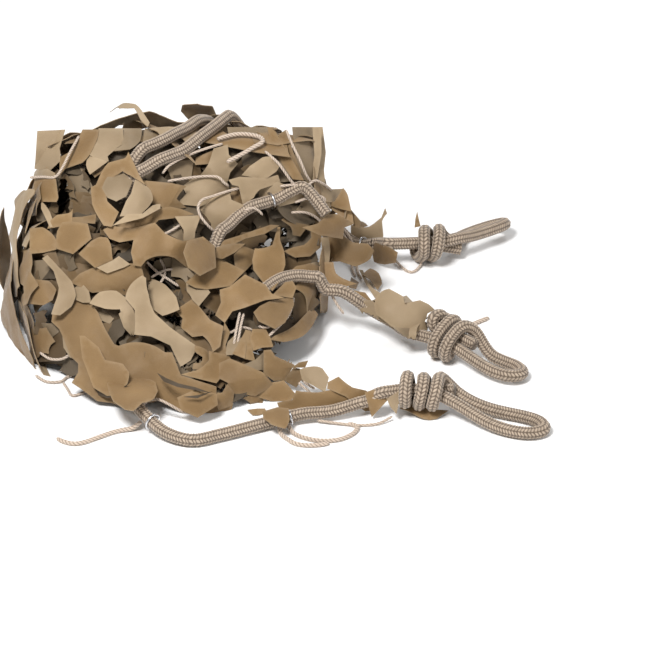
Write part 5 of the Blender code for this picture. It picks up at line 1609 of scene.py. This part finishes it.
def other_leaves(skin, tree, front, look, gaps):
    """The heap's back, ends and top: leaves of the same cuts, laid anew on each side."""
    rows = CROWN_LEAVES + SHOULDER_LEAVES + BREAST_LEAVES + APRON_LEAVES + FLANK_LEAVES
    for number, (name, turn, mirror) in enumerate(OTHER_SIDES):
        chance = random.Random(70 + number)
        side = Side(tree, turn)
        bundle = Bundle("garnish_" + name + "_leaves")
        for leaf in [moved_leaf(row, chance, mirror) for row in rows] + foot_leaves(side, chance):
            middle = np.mean([c[:2] for c in leaf[-1]], axis=0)[None]
            depth, on_heap = side.depths(middle)
            if not on_heap[0] or leaf[5] < DARKEST:
                continue
            spot = side.eye + side.rays(middle)[0] * depth[0]
            normal = skin.read(spot)[1][0]
            x, v = front.drawn(spot[None])[0]
            in_front = normal @ front.back > 0.3 and SHOWN[0] < x < SHOWN[1] and v < SHOWN[2]
            if in_front or normal @ side.back < 0.42:
                continue
            draw_leaf(bundle, side, leaf, chance, facet=4.8, sink=3, gaps=gaps)
        bundle.finish(look)


INNER_STEP = 15.0               # from one small leaf in the hollows to the next, mm
INNER_FIELD = (-104, 148, 36, 236)


def inner_leaves(front, look, gaps):
    """Small leaves painted dark as shade under the front's own, which fill the hollows between them."""
    chance = random.Random(91)
    bundle = Bundle("garnish_inner_leaves")
    left, right, low, high = INNER_FIELD
    for x in np.arange(left, right, INNER_STEP):
        for v in np.arange(low, high, INNER_STEP):
            corners = random_leaf(chance, x + chance.uniform(-6, 6), v + chance.uniform(-6, 6),
                                  chance.uniform(20, 42))
            # a tone of 0.18 to 0.56 paints the shade of the hollows
            row = (chance.random() < 0.5, chance.uniform(-13, -6), chance.uniform(-32, 32),
                   chance.uniform(-32, 32), 2, chance.uniform(0.18, 0.56), corners)
            _, on_cloth = front.depths(np.array(corners)[:, :2])
            if on_cloth.all():
                draw_leaf(bundle, front, row, chance, facet=4.6, gaps=gaps)
    bundle.finish(look)


def front_leaves(front, look):
    """The leaves of the front as they are looked at, from the top down."""
    groups = {"crown": CROWN_LEAVES, "shoulder": SHOULDER_LEAVES, "breast": BREAST_LEAVES,
              "apron": APRON_LEAVES, "flank": FLANK_LEAVES}
    for seed, (name, rows) in enumerate(groups.items(), 1):
        chance = random.Random(seed)
        bundle = Bundle("garnish_" + name + "_leaves")
        for row in rows:
            draw_leaf(bundle, front, row, chance, sink=2)
        bundle.finish(look)


def rope_leaves(nodes, look):
    """The leaves on the ropes, each in place of its own plain strip of the frame."""
    for name, rows in STRIP_LEAVES.items():
        chance = random.Random(len(name))
        side = Side(tree_of([nodes[name]]))
        bundle = Bundle(name + "_cut")
        for row in rows:
            draw_leaf(bundle, side, row, chance, facet=2.6)
        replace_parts(bundle.finish(look), name)


#  the wrap's radius, and the turns at which it starts and ends, in degrees, along the rope
SLEEVE = (
    (6.7, -110, 140),
    (13.0, -140, 160),
    (18.0, -160, 150),
    (18.0, -150, 155),
    (14.0, -120, 140),
)
SLEEVE_BEFORE, SLEEVE_AFTER, SLEEVE_EASE, SLEEVE_WAVE = 28.0, 36.0, 6.0, 0.1
SLEEVE_ROWS = 11                # the frame's own rows along it, less one
SLEEVE_IN = 4.0                 # the wrap's inner layer lies this far inside the frame's
SLEEVE_WIDE = 76.0
#  where the wrap's lower edge is left out, so that its flaps are what shows: x, v
SLEEVE_CLEAR = [(140, 55), (205, 55), (205, 75), (199, 76), (190, 78), (178, 86), (166, 93), (158, 98),
                (150, 98), (140, 92)]


def wrapped(route, meeting, flat, height):
    """Points of the sleeve's cloth: x along the rope and y round it, both from 0 to 1."""
    run = np.concatenate([[0], np.cumsum(np.linalg.norm(np.diff(route, axis=0), axis=1))])
    out = []
    for (u, w), rise in zip(flat, height):
        radius, start, end = spline(SLEEVE, u)
        place = meeting - SLEEVE_BEFORE + (SLEEVE_BEFORE + SLEEVE_AFTER) * u
        middle, before, after = (
            np.array([np.interp(place + away, run, route[:, axis]) for axis in range(3)])
            for away in (0, -SLEEVE_EASE, SLEEVE_EASE)
        )
        ahead = (after - before) / np.linalg.norm(after - before)
        side = np.cross(ahead, (0, 0, 1.0))
        side /= np.linalg.norm(side)
        up = np.cross(side, ahead)
        turn = math.radians(start + (end - start) * w)
        reach = radius * (1 + SLEEVE_WAVE * math.sin(3 * turn + SLEEVE_ROWS * u)) + rise
        out.append(middle + (side * math.sin(turn) + up * math.cos(turn)) * reach)
    return np.array(out)


def sleeve_cloth(nodes, routes, look):
    """Garnish wrapped round the middle rope where it meets its end loop, with its outer flaps."""
    chance = random.Random(17)
    lead, loop = routes["rope_middle"], routes["end_loop_middle"]
    route = np.concatenate([lead, loop[:12]])
    meeting = length_of(route[:len(lead)])
    bundle = Bundle("sleeve_wrap")
    long, wide = SLEEVE_BEFORE + SLEEVE_AFTER, SLEEVE_WIDE
    cuts = [Cut(16, 22, 80, 7, 15, "round", 12, 20), Cut(40, 58, -70, 8, 16, "point", 14, 18)]
    border = arcs([(0, 6, 0), (14, 0, -0.1), (38, 3, 0.1), (54, -1, -0.14), (64, 6, 0.1), (62, 30, -0.12),
                   (64, 52, 0.1), (60, 72, 0), (42, 76, -0.1), (20, 73, 0.1), (3, 76, 0), (2, 40, -0.1)])
    flat, triangles, rim = cut_flat(border, cuts, facet=2.8)
    solid = np.concatenate([flat, np.full((len(flat), 1), -SLEEVE_IN)], axis=1)
    for cut in cuts:
        cut.bend(flat, solid)
    place = wrapped(route, meeting, solid[:, :2] / (long, wide), solid[:, 2])
    place[:, 2] = np.maximum(place[:, 2], LEAF_LOWEST)
    side = Side(tree_of([nodes["garnish_sleeve"]]))
    bundle.add(flat, triangles[:, ::-1], rim, place, 0.9, True,
               gaps=lambda points: within(side.drawn(points), SLEEVE_CLEAR))
    for row in SLEEVE_LEAVES:
        draw_leaf(bundle, side, row, chance, facet=2.6)
    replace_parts(bundle.finish(look), "garnish_sleeve")


def loose_leaves(nodes, look):
    """The small leaves past the heap, on the ground and by the back rope."""
    side = Side(tree_of([nodes["rope_back"], nodes["end_loop_back"]]))
    bundle = Bundle("garnish_loose_leaves")
    chance = random.Random(23)
    for row in LOOSE_LEAVES:
        draw_leaf(bundle, side, row, chance, facet=2.6)
    bundle.finish(look)


def main():
    place_camera()
    nodes = frame["nodes"]
    rope_look = cord_look("braided_rope", ROPE_LIGHT, ROPE_GROOVE_SHADE, 1500, 0.72)
    twine_look = cord_look("twisted_twine", TWINE_LIGHT, TWINE_GROOVE_SHADE, 1800, 0.85)
    cloth_look = garnish_look(weave_group())
    routes = all_routes(tree_of([nodes["garnish_net"]]))
    make_cords(routes, rope_look, twine_look)
    steel = steel_look()
    for name, host, place in CLIPS:
        hog_ring(name, routes[host], place, steel)
    skin = Skin(nodes["garnish_net"])
    tree = tree_of_skin(skin)
    front = Side(tree)

    def gaps(points, places=OPEN_PLACES):
        spots = front.drawn(points)
        return np.any([within(spots, list(ring)) for ring in places], axis=0)

    def hollows(points):
        return gaps(points, OPEN_PLACES + HOLLOWS)

    net_strings(front, twine_look)
    strips = under_strips(skin, cloth_look, (hollows, gaps))
    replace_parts(strips[0], "garnish_net")
    other_leaves(skin, tree, front, cloth_look, gaps)
    inner_leaves(front, cloth_look, hollows)
    front_leaves(front, cloth_look)
    rope_leaves(nodes, cloth_look)
    sleeve_cloth(nodes, routes, cloth_look)
    loose_leaves(nodes, cloth_look)
    light_the_studio()
    lay_floor()


main()
